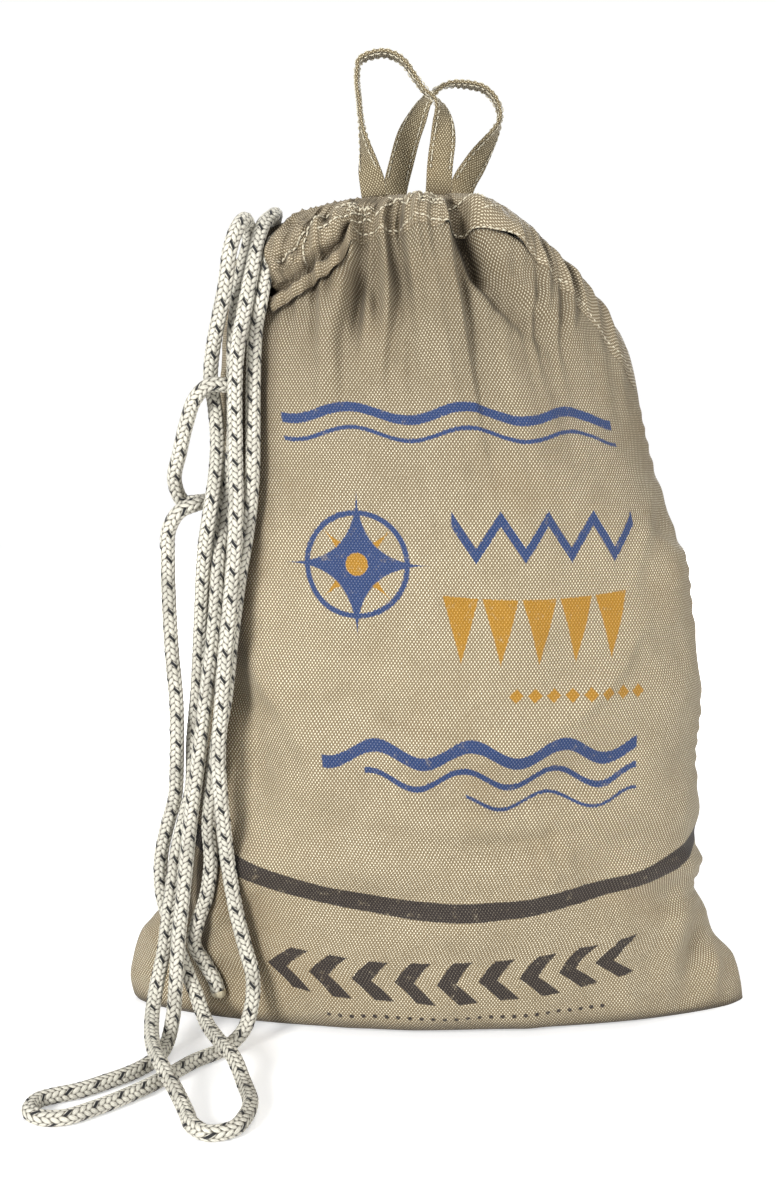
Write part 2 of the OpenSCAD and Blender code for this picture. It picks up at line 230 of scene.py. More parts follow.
def split(tree, socket):
    """The first two numbers of a vector."""
    node = tree.nodes.new("ShaderNodeSeparateXYZ")
    tree.links.new(socket, node.inputs[0])
    return Value(tree, node.outputs[0]), Value(tree, node.outputs[1])


def noise(tree, vector, scale, detail=2.0, rough=0.5):
    """Soft noise about 0.5, scale features to the metre."""
    node = tree.nodes.new("ShaderNodeTexNoise")
    tree.links.new(vector, node.inputs["Vector"])
    node.inputs["Scale"].default_value = scale
    node.inputs["Detail"].default_value = detail
    node.inputs["Roughness"].default_value = rough
    return Value(tree, node.outputs[0])


def mixed(tree, factor, first, second, kind="MIX"):
    """Colour between first and second; each may be a socket or a fixed colour."""
    node = tree.nodes.new("ShaderNodeMix")
    node.data_type = "RGBA"
    node.blend_type = kind
    for slot, value in ((node.inputs[0], factor), (node.inputs[6], first), (node.inputs[7], second)):
        if isinstance(value, Value):
            tree.links.new(value.socket, slot)
        elif isinstance(value, bpy.types.NodeSocket):
            tree.links.new(value, slot)
        else:
            slot.default_value = value
    return node.outputs[2]


def effect(name, outputs):
    """A node group that takes a surface's UV and gives the named values."""
    tree = bpy.data.node_groups.new(name, "ShaderNodeTree")
    tree.interface.new_socket(name="UV", in_out="INPUT", socket_type="NodeSocketVector")
    for output in outputs:
        tree.interface.new_socket(name=output, in_out="OUTPUT", socket_type="NodeSocketFloat")
    return tree, tree.nodes.new("NodeGroupInput").outputs[0], tree.nodes.new("NodeGroupOutput")


def finish_effect(tree, end, **values):
    """Joins the group's values to its outputs."""
    for name, value in values.items():
        tree.links.new(value.socket, end.inputs[name])


def material(name, group=None):
    """A Principled material, with the outputs of an effect on the piece's UV."""
    made = bpy.data.materials.new(name)
    made.use_nodes = True
    tree = made.node_tree
    shader = tree.nodes["Principled BSDF"]
    uv = tree.nodes.new("ShaderNodeUVMap")
    uv.uv_map = "cloth"
    got = {}
    if group:
        node = tree.nodes.new("ShaderNodeGroup")
        node.node_tree = group
        tree.links.new(uv.outputs[0], node.inputs[0])
        got = {o.name: Value(tree, o) for o in node.outputs}
    return made, tree, shader, uv.outputs[0], got


def bumped(tree, shader, height, distance, strength=1.0):
    """Lets a height in shares of distance tilt the surface."""
    node = tree.nodes.new("ShaderNodeBump")
    node.inputs["Distance"].default_value = distance
    node.inputs["Strength"].default_value = strength
    tree.links.new(height.socket, node.inputs["Height"])
    tree.links.new(node.outputs[0], shader.inputs["Normal"])


def braid_effect():
    """The same braid as the mesh's, seen closer: height, crowns, tracers and yarn lines."""
    tree, uv, end = effect("braid", ["Height", "Crown", "Tracer", "Yarn"])
    turn, run = split(tree, uv)
    wander = noise(tree, uv, 260, 1) * 0.16
    a = turn * strands - run / pitch + wander
    b = turn * strands + run / pitch - wander
    ia, ib = a.math("FLOOR"), b.math("FLOOR")
    fa, fb = a - ia, b - ib
    round_a = (fa * 2.0 - 1.0).math("POWER", 2.0)
    round_b = (fb * 2.0 - 1.0).math("POWER", 2.0)
    one = ((ia + b) * (math.pi / 2)).math("SINE") * 0.5 + 0.5 - round_a * 0.5
    other = ((ib + a) * (math.pi / 2)).math("SINE") * -0.5 + 0.5 - round_b * 0.5
    height = one.math("MAXIMUM", other)
    shows = one.math("GREATER_THAN", other)
    f = fb + (fa - fb) * shows
    dark = (ib / 4.0 + 0.05).math("FRACT").math("LESS_THAN", 0.2) * (-shows + 1.0)
    tracer = dark * f.between(0.13, 0.78, 0.07) * height.between(0.36, 3.0, 0.10)
    yarn = (f * (2 * math.pi * 3)).math("COSINE") * 0.5 + 0.5
    finish_effect(tree, end, Height=height, Crown=height.between(0.50, 3.0, 0.28),
                  Tracer=tracer, Yarn=yarn)
    return tree


def cord_material(name, crown, gap, tracer):
    """Braided cord: pale crowns, shaded gaps between them, and its tracer yarns."""
    made, tree, shader, uv, got = material(name, braid_effect())
    stretched = tree.nodes.new("ShaderNodeMapping")
    stretched.inputs["Scale"].default_value = (0.025, 1.0, 1.0)
    tree.links.new(uv, stretched.inputs[0])
    grime = noise(tree, stretched.outputs[0], 45, 3)
    fibre = noise(tree, stretched.outputs[0], 1700, 2)
    tone = mixed(tree, got["Crown"], gap, crown)
    tone = mixed(tree, got["Yarn"] * 0.16 * got["Crown"], tone, gap)
    tone = mixed(tree, (fibre - 0.45) * 0.7, tone, gap)
    tone = mixed(tree, (grime - 0.47).math("MULTIPLY", 1.6).math("MINIMUM", 0.35), tone, gap)
    tone = mixed(tree, got["Tracer"], tone, tracer)
    tree.links.new(tone, shader.inputs["Base Color"])
    shader.inputs["Roughness"].default_value = 0.62
    shader.inputs["Sheen Weight"].default_value = 0.12
    bumped(tree, shader, got["Height"] + got["Yarn"] * 0.16 + fibre * 0.1, 0.0011, 0.8)
    return made


cord_look = cord_material("braided_cord", linear(235, 231, 216), linear(68, 60, 45), linear(10, 10, 14))
cord_step = 0.00117

# millimetres, along the middle of the cord
long_exit = [-88, 22, 440]
long_tail_points = (
    # over the rim and down the front
    [long_exit, [-92, 20, 444], [-93, 14, 449], [-92, 5, 452], [-91, -5, 452],
     [-92, -13, 450], [-96, -22, 445], [-99, -32, 434],
     [-102, -40, 415], [-106, -44, 393], [-109, -48, 374], [-110, -51, 355],
     [-110, -52, 324], [-109, -63, 290], [-111, -66, 256], [-115, -66, 218],
     [-118, -64, 186], [-120, -63, 158], [-118, -63, 125], [-116, -59, 99],
     [-112, -59, 73], [-107, -60, 52]]
    # the bight that lies out to the left on the floor
    + [[-103, -63, 38], [-103, -67, 24], [-107, -73, 11], [-116, -83, 5],
       [-131, -98, 4.2], [-145, -120, 4.2], [-160, -139, 4.2],
       [-174, -153, 4.2], [-186, -162, 4.2], [-197, -162, 4.2],
       [-204, -155, 4.2], [-203, -144, 4.2], [-195, -138, 4.2],
       [-185, -133, 4.2], [-173, -123, 4.2], [-160, -110, 4.2],
       [-151, -93, 4.2], [-148, -80, 6], [-146, -70, 16]]
    # up again behind the first fall
    + [[-145, -63, 34], [-144, -57, 56], [-142, -54, 77], [-139, -53, 104],
       [-136, -55, 128], [-132, -57, 154], [-128, -57, 183], [-124, -57, 212],
       [-121, -55, 240], [-119, -52, 270], [-115, -46, 302], [-112, -39, 329],
       [-112, -34, 356], [-112, -32, 383], [-110, -30, 404], [-107, -26, 422]]
    # the bight at the top, over the sack's left shoulder
    + [[-104, -22, 437], [-105, -28, 446], [-108, -39, 442], [-112, -46, 429],
       [-115, -45, 410]]
    # the second fall
    + [[-119, -41, 394], [-123, -36, 377], [-125, -31, 362], [-123, -31, 347],
       [-121, -38, 329], [-121, -49, 310], [-123, -58, 292], [-127, -55, 268],
       [-130, -48, 235], [-133, -44, 193], [-136, -43, 164], [-137, -43, 139],
       [-141, -43, 122], [-145, -45, 106], [-148, -46, 86], [-151, -46, 66],
       [-153, -50, 48], [-156, -60, 31]]
    # the bight that lies out to the front, over the left one
    + [[-157, -71, 19], [-153, -96, 13.2], [-144, -123, 13.2], [-134, -142, 8],
       [-127, -157, 4.2], [-123, -169, 4.2], [-114, -178, 4.2],
       [-103, -174, 4.2], [-98, -161, 4.2], [-97, -145, 4.2],
       [-102, -127, 6], [-109, -110, 12], [-119, -91, 13.2], [-128, -71, 15]]
    # up on the left edge of the bundle and out to the side
    + [[-135, -58, 26], [-143, -48, 40], [-149, -38, 53], [-155, -34, 68],
       [-157, -33, 82], [-156, -34, 98], [-152, -36, 115], [-147, -40, 132],
       [-145, -46, 150], [-144, -50, 169], [-144, -50, 188], [-146, -50, 216],
       [-147, -50, 243], [-147, -51, 265]]
    # the small bight tucked behind the bundle, and the end that goes in behind it
    + [[-146, -53, 281], [-140, -54, 291], [-131, -49, 295], [-127, -39, 296],
       [-133, -30, 295], [-141, -29, 295], [-145, -35, 307], [-141, -40, 323],
       [-137, -42, 338], [-132, -43, 351], [-124, -44, 358], [-115, -42, 358]])
long_path = through(np.array(long_tail_points) / 1000, cord_step)
long_tail = braided("long_tail", long_path)
long_tail.data.materials.append(cord_look)
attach(long_tail, "sack")
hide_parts("drawcord_long_tail")


def melted_tip(name, path):
    """A cut end run together by heat: rings that carry on from the cord and close unevenly."""
    rings, sides, long = 12, 28, 0.004
    ahead, aside, across = (d[-1] for d in carried(path))
    out = np.linspace(0, 1, rings)[:, None]
    angle = 2 * np.pi * np.arange(sides) / sides
    r = cord_r * np.sqrt(np.maximum(1.02 - out ** 3.0, 0.02))
    r = r * (1 + 0.05 * np.sin(3 * angle + 1) + 0.04 * np.sin(5 * angle + 7 * out))
    lean = 0.0006 * np.sin(angle + 0.7) * out
    grid = (path[-1] + (long * out + lean)[..., None] * ahead + (r * np.cos(angle))[..., None] * aside
            + (r * np.sin(angle))[..., None] * across)
    return tube(name, grid, np.arange(sides + 1) / sides, long * out)


def tip_material():
    """Melted polyester: yellowed, smooth, with darker scorched spots."""
    made, tree, shader, uv, _ = material("melted_tip")
    spots = noise(tree, uv, 9, 3)
    tone = mixed(tree, (spots - 0.4) * 2.0, linear(212, 203, 176), linear(120, 100, 66))
    tree.links.new(tone, shader.inputs["Base Color"])
    shader.inputs["Roughness"].default_value = 0.38
    bumped(tree, shader, noise(tree, uv, 14, 2), 0.0006)
    return made


tip_look = tip_material()
long_tip = melted_tip("long_tail_end", long_path)
long_tip.data.materials.append(tip_look)
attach(long_tip, "sack")
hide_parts("long_tail_tip")

# ---- Drawcord, short tail ---------------------------------------------------
# The same cord's other end: it comes out through the front of the tunnel, hangs down the
# bundle and ends in a half turn near the floor.
short_exit = [-90, -22, 436]
short_tail_points = [
    short_exit, [-92, -31, 427], [-95, -35, 414], [-97, -38, 402],
    [-100, -35, 388], [-101, -40, 361], [-101, -46, 334], [-101, -51, 313],
    [-103, -55, 287], [-108, -57, 257], [-113, -57, 222], [-117, -55, 189],
    [-122, -54, 164], [-125, -52, 141], [-127, -52, 119], [-126, -53, 99],
    [-129, -51, 79], [-135, -48, 61], [-137, -46, 49], [-132, -43, 38],
    [-126, -45, 28], [-124, -46, 22]]
short_path = through(np.array(short_tail_points) / 1000, cord_step)
short_tail = braided("short_tail", short_path, start=0.011)
short_tail.data.materials.append(cord_look)
short_tip = melted_tip("short_tail_end", short_path)
short_tip.data.materials.append(tip_look)
for piece, slot, node in ((short_tail, "braided_cord", "drawcord_short_tail"),
                          (short_tip, "melted_tip", "short_tail_tip")):
    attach(piece, "sack")
    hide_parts(node)


# ---- Front panel ------------------------------------------------------------
# The front of the sack: one piece of coarse plain-woven, lightly coated canvas, turned in
# and sewn down both sides and along the bottom, gathered at the top and filled by the
# coiled line. It carries a worn screen print in blue, ochre and dark brown.
def smooth(at, table):
    """A smooth curve through given pairs that never overshoots them.

    Cubic between knots; the slope at a knot is the harmonic mean of the slopes on both
    sides, or none where these differ in sign."""
    knots, values = np.array(table, float).T
    rise = np.diff(values) / np.diff(knots)
    same = rise[1:] * rise[:-1] > 0
    middle = np.where(same, 2 * rise[1:] * rise[:-1] / np.where(same, rise[1:] + rise[:-1], 1), 0)
    slope = np.concatenate([rise[:1], middle, rise[-1:]])
    k = np.clip(np.searchsorted(knots, at) - 1, 0, len(knots) - 2)
    h = knots[k + 1] - knots[k]
    t = np.clip((at - knots[k]) / h, 0, 1)
    return (values[k] * (1 + 2 * t) * (1 - t) ** 2 + values[k + 1] * t * t * (3 - 2 * t)
            + h * slope[k] * t * (1 - t) ** 2 - h * slope[k + 1] * t * t * (1 - t))


# shares of the sack's height, then millimetres from its middle to its left and right edge
left_reach = [(0, 177), (0.006, 179), (0.031, 181), (0.059, 179), (0.094, 174), (0.11, 168),
              (0.128, 161), (0.17, 155), (0.245, 149), (0.279, 147), (0.312, 144.5),
              (0.40, 142), (0.50, 138.5), (0.60, 135), (0.662, 132), (0.733, 126), (0.86, 121.5),
              (0.948, 119), (0.966, 115), (0.979, 111), (1, 104)]
right_reach = [(0, 181), (0.02, 180), (0.066, 175), (0.1045, 162), (0.143, 157), (0.1845, 149),
               (0.223, 153), (0.253, 148), (0.303, 150), (0.379, 147.5), (0.454, 149.7),
               (0.528, 147), (0.60, 143.4), (0.66, 140.5), (0.689, 135), (0.747, 127),
               (0.78, 121.5), (0.819, 116), (0.89, 105.5), (0.96, 94), (1, 88)]
belly_share = [(0, 0.60), (0.010, 0.75), (0.035, 0.84), (0.07, 0.89), (0.11, 0.93), (0.16, 0.96),
               (0.22, 0.99), (0.30, 1.0), (0.40, 1.0), (0.52, 0.97), (0.62, 0.92), (0.70, 0.84),
               (0.78, 0.73), (0.86, 0.59), (0.92, 0.45), (0.97, 0.30), (1, 0.22)]
edge_pinch = [(0, 1.5), (0.01, 1.52), (0.035, 1.6), (0.07, 1.6), (0.11, 1.35), (0.16, 1.1),
              (0.22, 0.95), (0.30, 0.9), (0.52, 0.85), (0.62, 0.9), (0.78, 1.0), (0.86, 0.9),
              (0.92, 0.8), (1, 0.8)]
cloth = 0.0012
# millimetres from the sack's middle to the rim's left end, and about how wide the rim is
rim_left, rim_wide = 104, 196


def rim_height(w):
    """Height of the rim in metres, a share w of the way from the left seam to the right."""
    return (458 - 18 * np.maximum(0, 1 - w / 0.45) ** 2
            - 64 * np.maximum(0, (w - 0.62) / 0.38) ** 1.7) / 1000


def rim_slant(w):
    """How much longer the way down the cloth is where the rim slants, square to the rim."""
    slope = (rim_height(w + 0.01) - rim_height(w - 0.01)) / (0.02 * (rim_wide / 1000))
    return 0.93 * np.sqrt(1 + slope ** 2)


def sack_front(w, v, out=1.0):
    """A point of the plain front: w across, v up, out the share of the belly's depth."""
    w, v, out = np.broadcast_arrays(np.clip(w, 0, 1), v, out)
    left, right = -smooth(v, left_reach), smooth(v, right_reach)
    bulge = (2 * np.sqrt(w * (1 - w))) ** smooth(v, edge_pinch)
    deep = 0.3 + 2.35 * np.minimum(1, 5 * bulge) + 74 * smooth(v, belly_share) * bulge * out
    return np.stack([(left + (right - left) * w) / 1000, -deep / 1000, v * rim_height(w)], -1)


def grid_normals(grid):
    """Unit normals of a grid whose rows go up and whose columns go to the right."""
    return unit(np.cross(np.gradient(grid, axis=1), np.gradient(grid, axis=0)))


def ridge(x, z, path, left, right, flat=0.0):
    """A fold: its height along a drawn line, falling off smoothly on either side.

    path lists x, z and height in millimetres from top to bottom. left and right are how
    far the fold reaches; flat widens its top, to the left where positive."""
    best = np.full(x.shape, 1e9)
    side = np.zeros(x.shape)
    tall = np.zeros(x.shape)
    for (x0, z0, h0), (x1, z1, h1) in zip(path[:-1], path[1:]):
        dx, dz = x1 - x0, z1 - z0
        t = np.clip(((x - x0) * dx + (z - z0) * dz) / (dx * dx + dz * dz), 0, 1)
        away = np.hypot(x - x0 - t * dx, z - z0 - t * dz)
        near = away < best
        best = np.where(near, away, best)
        side = np.where(near, np.sign(dx * (z - z0) - dz * (x - x0)), side)
        tall = np.where(near, h0 + (h1 - h0) * t, tall)
    top = np.where(side * flat < 0, abs(flat), 0)
    wide = np.where(side > 0, right, left)
    return tall * np.exp(-(np.maximum(best - top, 0) / wide) ** 2)


def ripple(x, z, size, seed):
    """Soft random ripples about size across: a sum of plane waves that run every way."""
    total = 0.0
    waves = 9
    for turn, shift, scale in np.random.default_rng(seed).random((waves, 3)):
        wave = 2 * np.pi / (size * (0.6 + 0.9 * scale))
        total = total + np.sin(wave * (x * np.cos(6.283 * turn) + z * np.sin(6.283 * turn))
                               + 6.283 * shift)
    return total / 3


def step(x, low, high):
    """0 below low, 1 above high, smooth between."""
    t = np.clip((x - low) / (high - low), 0, 1)
    return t * t * (3 - 2 * t)


# each fold: x, z and height from top to bottom, its reach to the left and to the right, and
# its flat top
front_folds = [
    # the pleat in the middle: a flat raised band with a sharp right edge
    ([(-1, 455, 7), (2, 440, 12), (5, 418, 13), (8, 403, 11), (11, 385, 8.5), (14, 365, 5.5),
      (19, 335, 2.2), (26, 305, 0.3)], 14, 1.9, 12),
    ([(-15, 455, 1.5), (-12, 431, 3.0), (-6, 397, 2.6), (2, 365, 1.6), (7, 335, 0.2)], 6, 6, 0),
    ([(6, 450, -6), (11, 434, -13), (18, 417, -11.5), (30, 402, -7), (47, 386, -3.4), (66, 370, -0.2)],
     3.6, 6, 0),
    ([(-20, 428, -1), (-14, 415, -4.5), (-12, 400, -3.5), (-10, 380, -0.4)], 8, 8, 0),
    # the collar that comes forward to the right of it
    ([(6, 454, 5), (11, 443, 9), (20, 429, 9.5), (34, 414, 7.0), (50, 399, 4.2), (66, 384, 0.6)],
     2.4, 12, -3),
    ([(21, 449, 2), (43, 424, 4.4), (67, 394, 4.2), (87, 361, 2.2), (97, 338, 0.3)], 9, 8, 0),
    ([(60, 428, 1.5), (78, 400, 2.4), (92, 372, 1.4), (104, 345, 0.2)], 6, 8, 0),
    # the gathered cloth to the left, and the fold it ends in
    ([(-47, 447, 6), (-48, 423, 9), (-53, 403, 8), (-57, 382, 5), (-56, 345, 0.5)], 12, 2.6, 0),
    ([(-42, 440, -4), (-43, 412, -6), (-48, 388, -3.6), (-50, 358, -0.3)], 4, 6, 0),
    ([(-57, 403, 2.4), (-62, 376, 3.0), (-64, 350, 1.4), (-66, 325, 0.1)], 6, 5, 0),
    ([(-30, 436, 3.0), (-29, 403, 5.0), (-30, 385, 3.4), (-33, 355, 0.2)], 4, 2.4, 0),
    ([(-20, 440, -2.5), (-22, 414, -3.6), (-23, 392, -2.2), (-26, 366, -0.1)], 4, 4, 0),
    ([(-38, 430, 2.0), (-41, 405, 2.2), (-44, 380, 1.1), (-46, 352, 0.1)], 3, 3, 0),
    ([(24, 392, 1.0), (36, 366, 1.6), (46, 336, 0.8), (52, 310, 0.1)], 7, 7, 0),
    # a dimple in the right shoulder
    ([(61, 356, -1.0), (74, 339, -2.0), (63, 322, -0.8)], 8, 8, 0),
    # the belly's lower left edge and the hollow beside it
    ([(-107, 222, 1.0), (-96, 201, 4.0), (-75, 168, 4.2), (-64, 140, 0.6)], 5, 17, 0),
    ([(-123, 225, -2), (-112, 189, -8), (-100, 158, -8), (-104, 118, -2)], 14, 12, 0),
    # the belly's sag over the line inside, and creases from it
    ([(-66, 150, 1.0), (-20, 134, 3.0), (30, 129, 3.4), (78, 139, 2.8), (118, 160, 0.5)], 15, 6, 0),
    ([(112, 240, 0.4), (98, 208, 2.8), (72, 184, 2.2), (40, 170, 0.2)], 8, 4, 0),
    ([(-34, 119, -1.5), (10, 112, -3.0), (60, 116, -2.6), (98, 130, -0.6)], 7, 7, 0),
    ([(-52, 192, 0.3), (-30, 178, 1.8), (4, 170, 1.6), (30, 168, 0.2)], 8, 4, 0),
    ([(122, 312, 0.3), (112, 284, 2.0), (104, 256, 1.4), (100, 238, 0.2)], 6, 5, 0),
    # the pulled-out corners at the floor
    ([(145, 90, 0.5), (139, 66, 3.2), (134, 50, 3.4), (126, 24, 1.5)], 7, 9, 0),
    ([(160, 66, -0.6), (150, 46, -3.0), (144, 30, -3.4), (141, 6, -1.5)], 7, 7, 0),
    ([(168, 52, 0.6), (160, 30, 2.6), (158, 8, 1.2)], 5, 5, 0),
    ([(-118, 96, 0.4), (-126, 66, 3.0), (-130, 36, 2.6), (-128, 12, 0.8)], 9, 7, 0),
    ([(-140, 78, -0.5), (-146, 50, -2.8), (-150, 20, -2.0)], 7, 7, 0),
    ([(96, 44, 0.2), (104, 26, 1.8), (108, 8, 1.2)], 7, 7, 0)]


def relief(x, z, w, folds, seed):
    """Height in millimetres of all folds at x and z in millimetres, w across."""
    total = np.zeros(x.shape)
    for path, left, right, flat in folds:
        total = total + ridge(x, z, path, left, right, flat)
    gathers = step(z, 322, 432)
    fan = (np.sin(2 * np.pi * (17 * w + 0.3 * ripple(w, z / 900, 0.3, seed)))
           + 0.7 * np.sin(2 * np.pi * (29 * w + 0.4 * ripple(w, z / 700, 0.2, seed + 1))))
    total = total + 1.5 * gathers * fan * (0.7 + 0.5 * ripple(x, z, 90, seed + 6))
    total = total + 1.5 * ripple(x, 0.8 * z, 24, seed + 7) * step(z, 375, 425) * (1 - step(w, 0.7, 0.9))
    total = total + 2.3 * ripple(x, 1.7 * z, 95, seed + 2) * step(z, 20, 90) * (1 - step(z, 200, 330))
    total = total + 0.8 * ripple(x, z, 46, seed + 3)
    return total + 0.20 * ripple(x, z, 15, seed + 4) * (0.6 + ripple(x, z, 120, seed + 5))


# millimetres down from the rim, then how far the cloth stands out over the drawcord
puff_out = [(-1, 2.4), (2.5, 5.0), (6, 8.0), (9.5, 9.5), (13.5, 9.7), (18, 8.8), (24, 6.9), (31, 4.7),
            (40, 2.5), (52, 0.8), (64, 0)]


def cloth_out(x, z, w, down, folds, seed, back):
    """Millimetres that the cloth stands out: over the cord down from the rim, and in its folds."""
    tall = relief(-x if back else x, z, w, folds, seed)
    return smooth(np.clip(down, -1, 64), puff_out), tall


rope_axes = np.vstack([long_path[::4], short_path[::4]])


def rope_room(points):
    """Millimetres from points to the nearest cord's surface, on the sack's left part, where
    the tails hang; 60 elsewhere."""
    room = np.full(points.shape[:-1], 60.0)
    near = points[..., 0] < -0.07
    some = points[near]
    best = np.full(len(some), 1e9)
    for part in np.array_split(rope_axes, 12):
        best = np.minimum(best, np.linalg.norm(some[:, None] - part[None], axis=-1).min(1))
    room[near] = best * 1000 - 4.1
    return room


def trapezoid(count, edge):
    """Shares from 0 to 1 that start and end fine and are even between."""
    t = np.linspace(0, 1, count + 1)
    low, high = np.minimum(t, edge), np.maximum(t - (1 - edge), 0)
    even = np.maximum(np.minimum(t, 1 - edge) - edge, 0)
    w = low ** 2 / (2 * edge) + even + high - high ** 2 / (2 * edge)
    return w / w[-1]


def panel_piece(name, folds, seed, back):
    """One side of the sack as a closed shell of cloth: a fine outer face and a coarser
    inner one. Rows run from the bottom seam along the floor, then up to the rim."""
    steps_across, steps_up, floor_rows = 256, 236, 21
    w = trapezoid(steps_across, 0.12)
    up = np.linspace(0, 1, steps_up + 1)[1:]
    v = np.concatenate([np.zeros(floor_rows), 0.45 * up ** 2 * (1 - up) + up - 0.45 * up * (1 - up)])
    out = np.concatenate([np.linspace(0, 1, floor_rows), np.ones(steps_up)])
    base = sack_front(w[None], v[:, None], out[:, None])
    normal = grid_normals(base)
    x, z = base[..., 0] * 1000, base[..., 2] * 1000
    below_rim = (rim_height(w)[None] - base[..., 2]) / rim_slant(w)[None] * 1000
    edge = np.minimum(x - x[:, :1], x[:, -1:] - x)
    puff, tall = cloth_out(x, z, w[None] + 0 * x, below_rim, folds, seed, back)
    tall = tall * step(edge, 0, 16) * step(z + 10 * out[:, None], 9, 22)
    tall = (tall + puff * step(x + 92, 0, 20)) * step(below_rim, 15, 25)
    pucker = 0.5 + 0.5 * np.sin(z / 2.1 + 3 * ripple(z, 0 * z, 60, seed))
    pucker = np.exp(-(edge / 7) ** 2) * step(edge, 0, 2) * pucker
    tall = tall + 1.1 * pucker * step(below_rim, 20, 40) * step(z, 4, 20)
    if not back:
        tall = np.minimum(tall, rope_room(base))
    outer = base + normal * tall[..., None] / 1000
    inner = (outer - normal * cloth)[::2, ::2]
    inner[..., 1] = np.minimum(inner[..., 1], -0.0001)
    if back:
        outer, inner = outer * (1, -1, 1), inner * (1, -1, 1)

    # the cloth's own lengths, which carry the weave and the print
    rows, cols = outer.shape[:2]
    pulled = base + normal * (0.6 * tall * step(z, 310, 360))[..., None] / 1000
    across = arc(pulled, 1)
    across = across - across[:, cols // 2, None]
    along = arc(pulled, 0)
    along = along - along[floor_rows - 1]
    table = np.stack([across, along], -1)
    few = table[::2, ::2]
    start, half = rows * cols, cols // 2 + 1
    corners, places = grid_corners(rows, cols, cols, back)
    low, low_places = grid_corners(rows // 2 + 1, half, half, not back)
    r, c = np.arange(rows // 2), np.arange(cols // 2)

    # five-cornered faces all round join two steps of the outer face's edge to one of the
    # inner face's
    edges = []
    for points, step_by, inside, inside_step, flip in (
            (2 * c, 1, start + c, 1, not back),
            ((rows - 1) * cols + 2 * c, 1, start + (rows // 2) * half + c, 1, back),
            (2 * r * cols, cols, start + r * half, half, back),
            (2 * r * cols + cols - 1, cols, start + r * half + half - 1, half, not back)):
        three = np.stack([points, points + step_by, points + 2 * step_by], 1)
        two = np.stack([inside, inside + inside_step], 1)
        pair = (three[:, ::-1], two) if flip else (three, two[:, ::-1])
        edges.append(np.concatenate(pair, 1))
    edges = np.concatenate(edges)
    points = np.concatenate([outer.reshape(-1, 3), inner.reshape(-1, 3)])
    flat = np.concatenate([table.reshape(-1, 2), few.reshape(-1, 2)])
    faces = corners.tolist() + (low + start).tolist() + edges.tolist()
    uv = np.concatenate([flat[places.ravel()], few.reshape(-1, 2)[low_places.ravel()],
                         flat[edges.ravel()]])
    return mesh_piece(name, points, faces, uv)


def weave_effect(name, wide, high):
    """Plain weave: floats of warp and weft by turns, wide and high metres to a repeat."""
    tree, uv, end = effect(name, ["Height", "Float", "Slub"])
    u, v = split(tree, uv)
    drift = noise(tree, uv, 34, 2) - 0.5
    slub = noise(tree, uv, 420, 2)
    p = u / wide + drift * 0.5 + slub * 0.14
    q = v / high - drift * 0.4 - slub * 0.10
    over = (p * (2 * math.pi)).math("SINE") * (q * (2 * math.pi)).math("SINE")
    ribs = (p * (4 * math.pi)).math("COSINE") * -0.5 + 0.5
    height = over * 0.5 + 0.5
    finish_effect(tree, end, Height=height * 0.75 + ribs * 0.25,
                  Float=over.between(0.46, 2.0, 0.40), Slub=slub)
    return tree


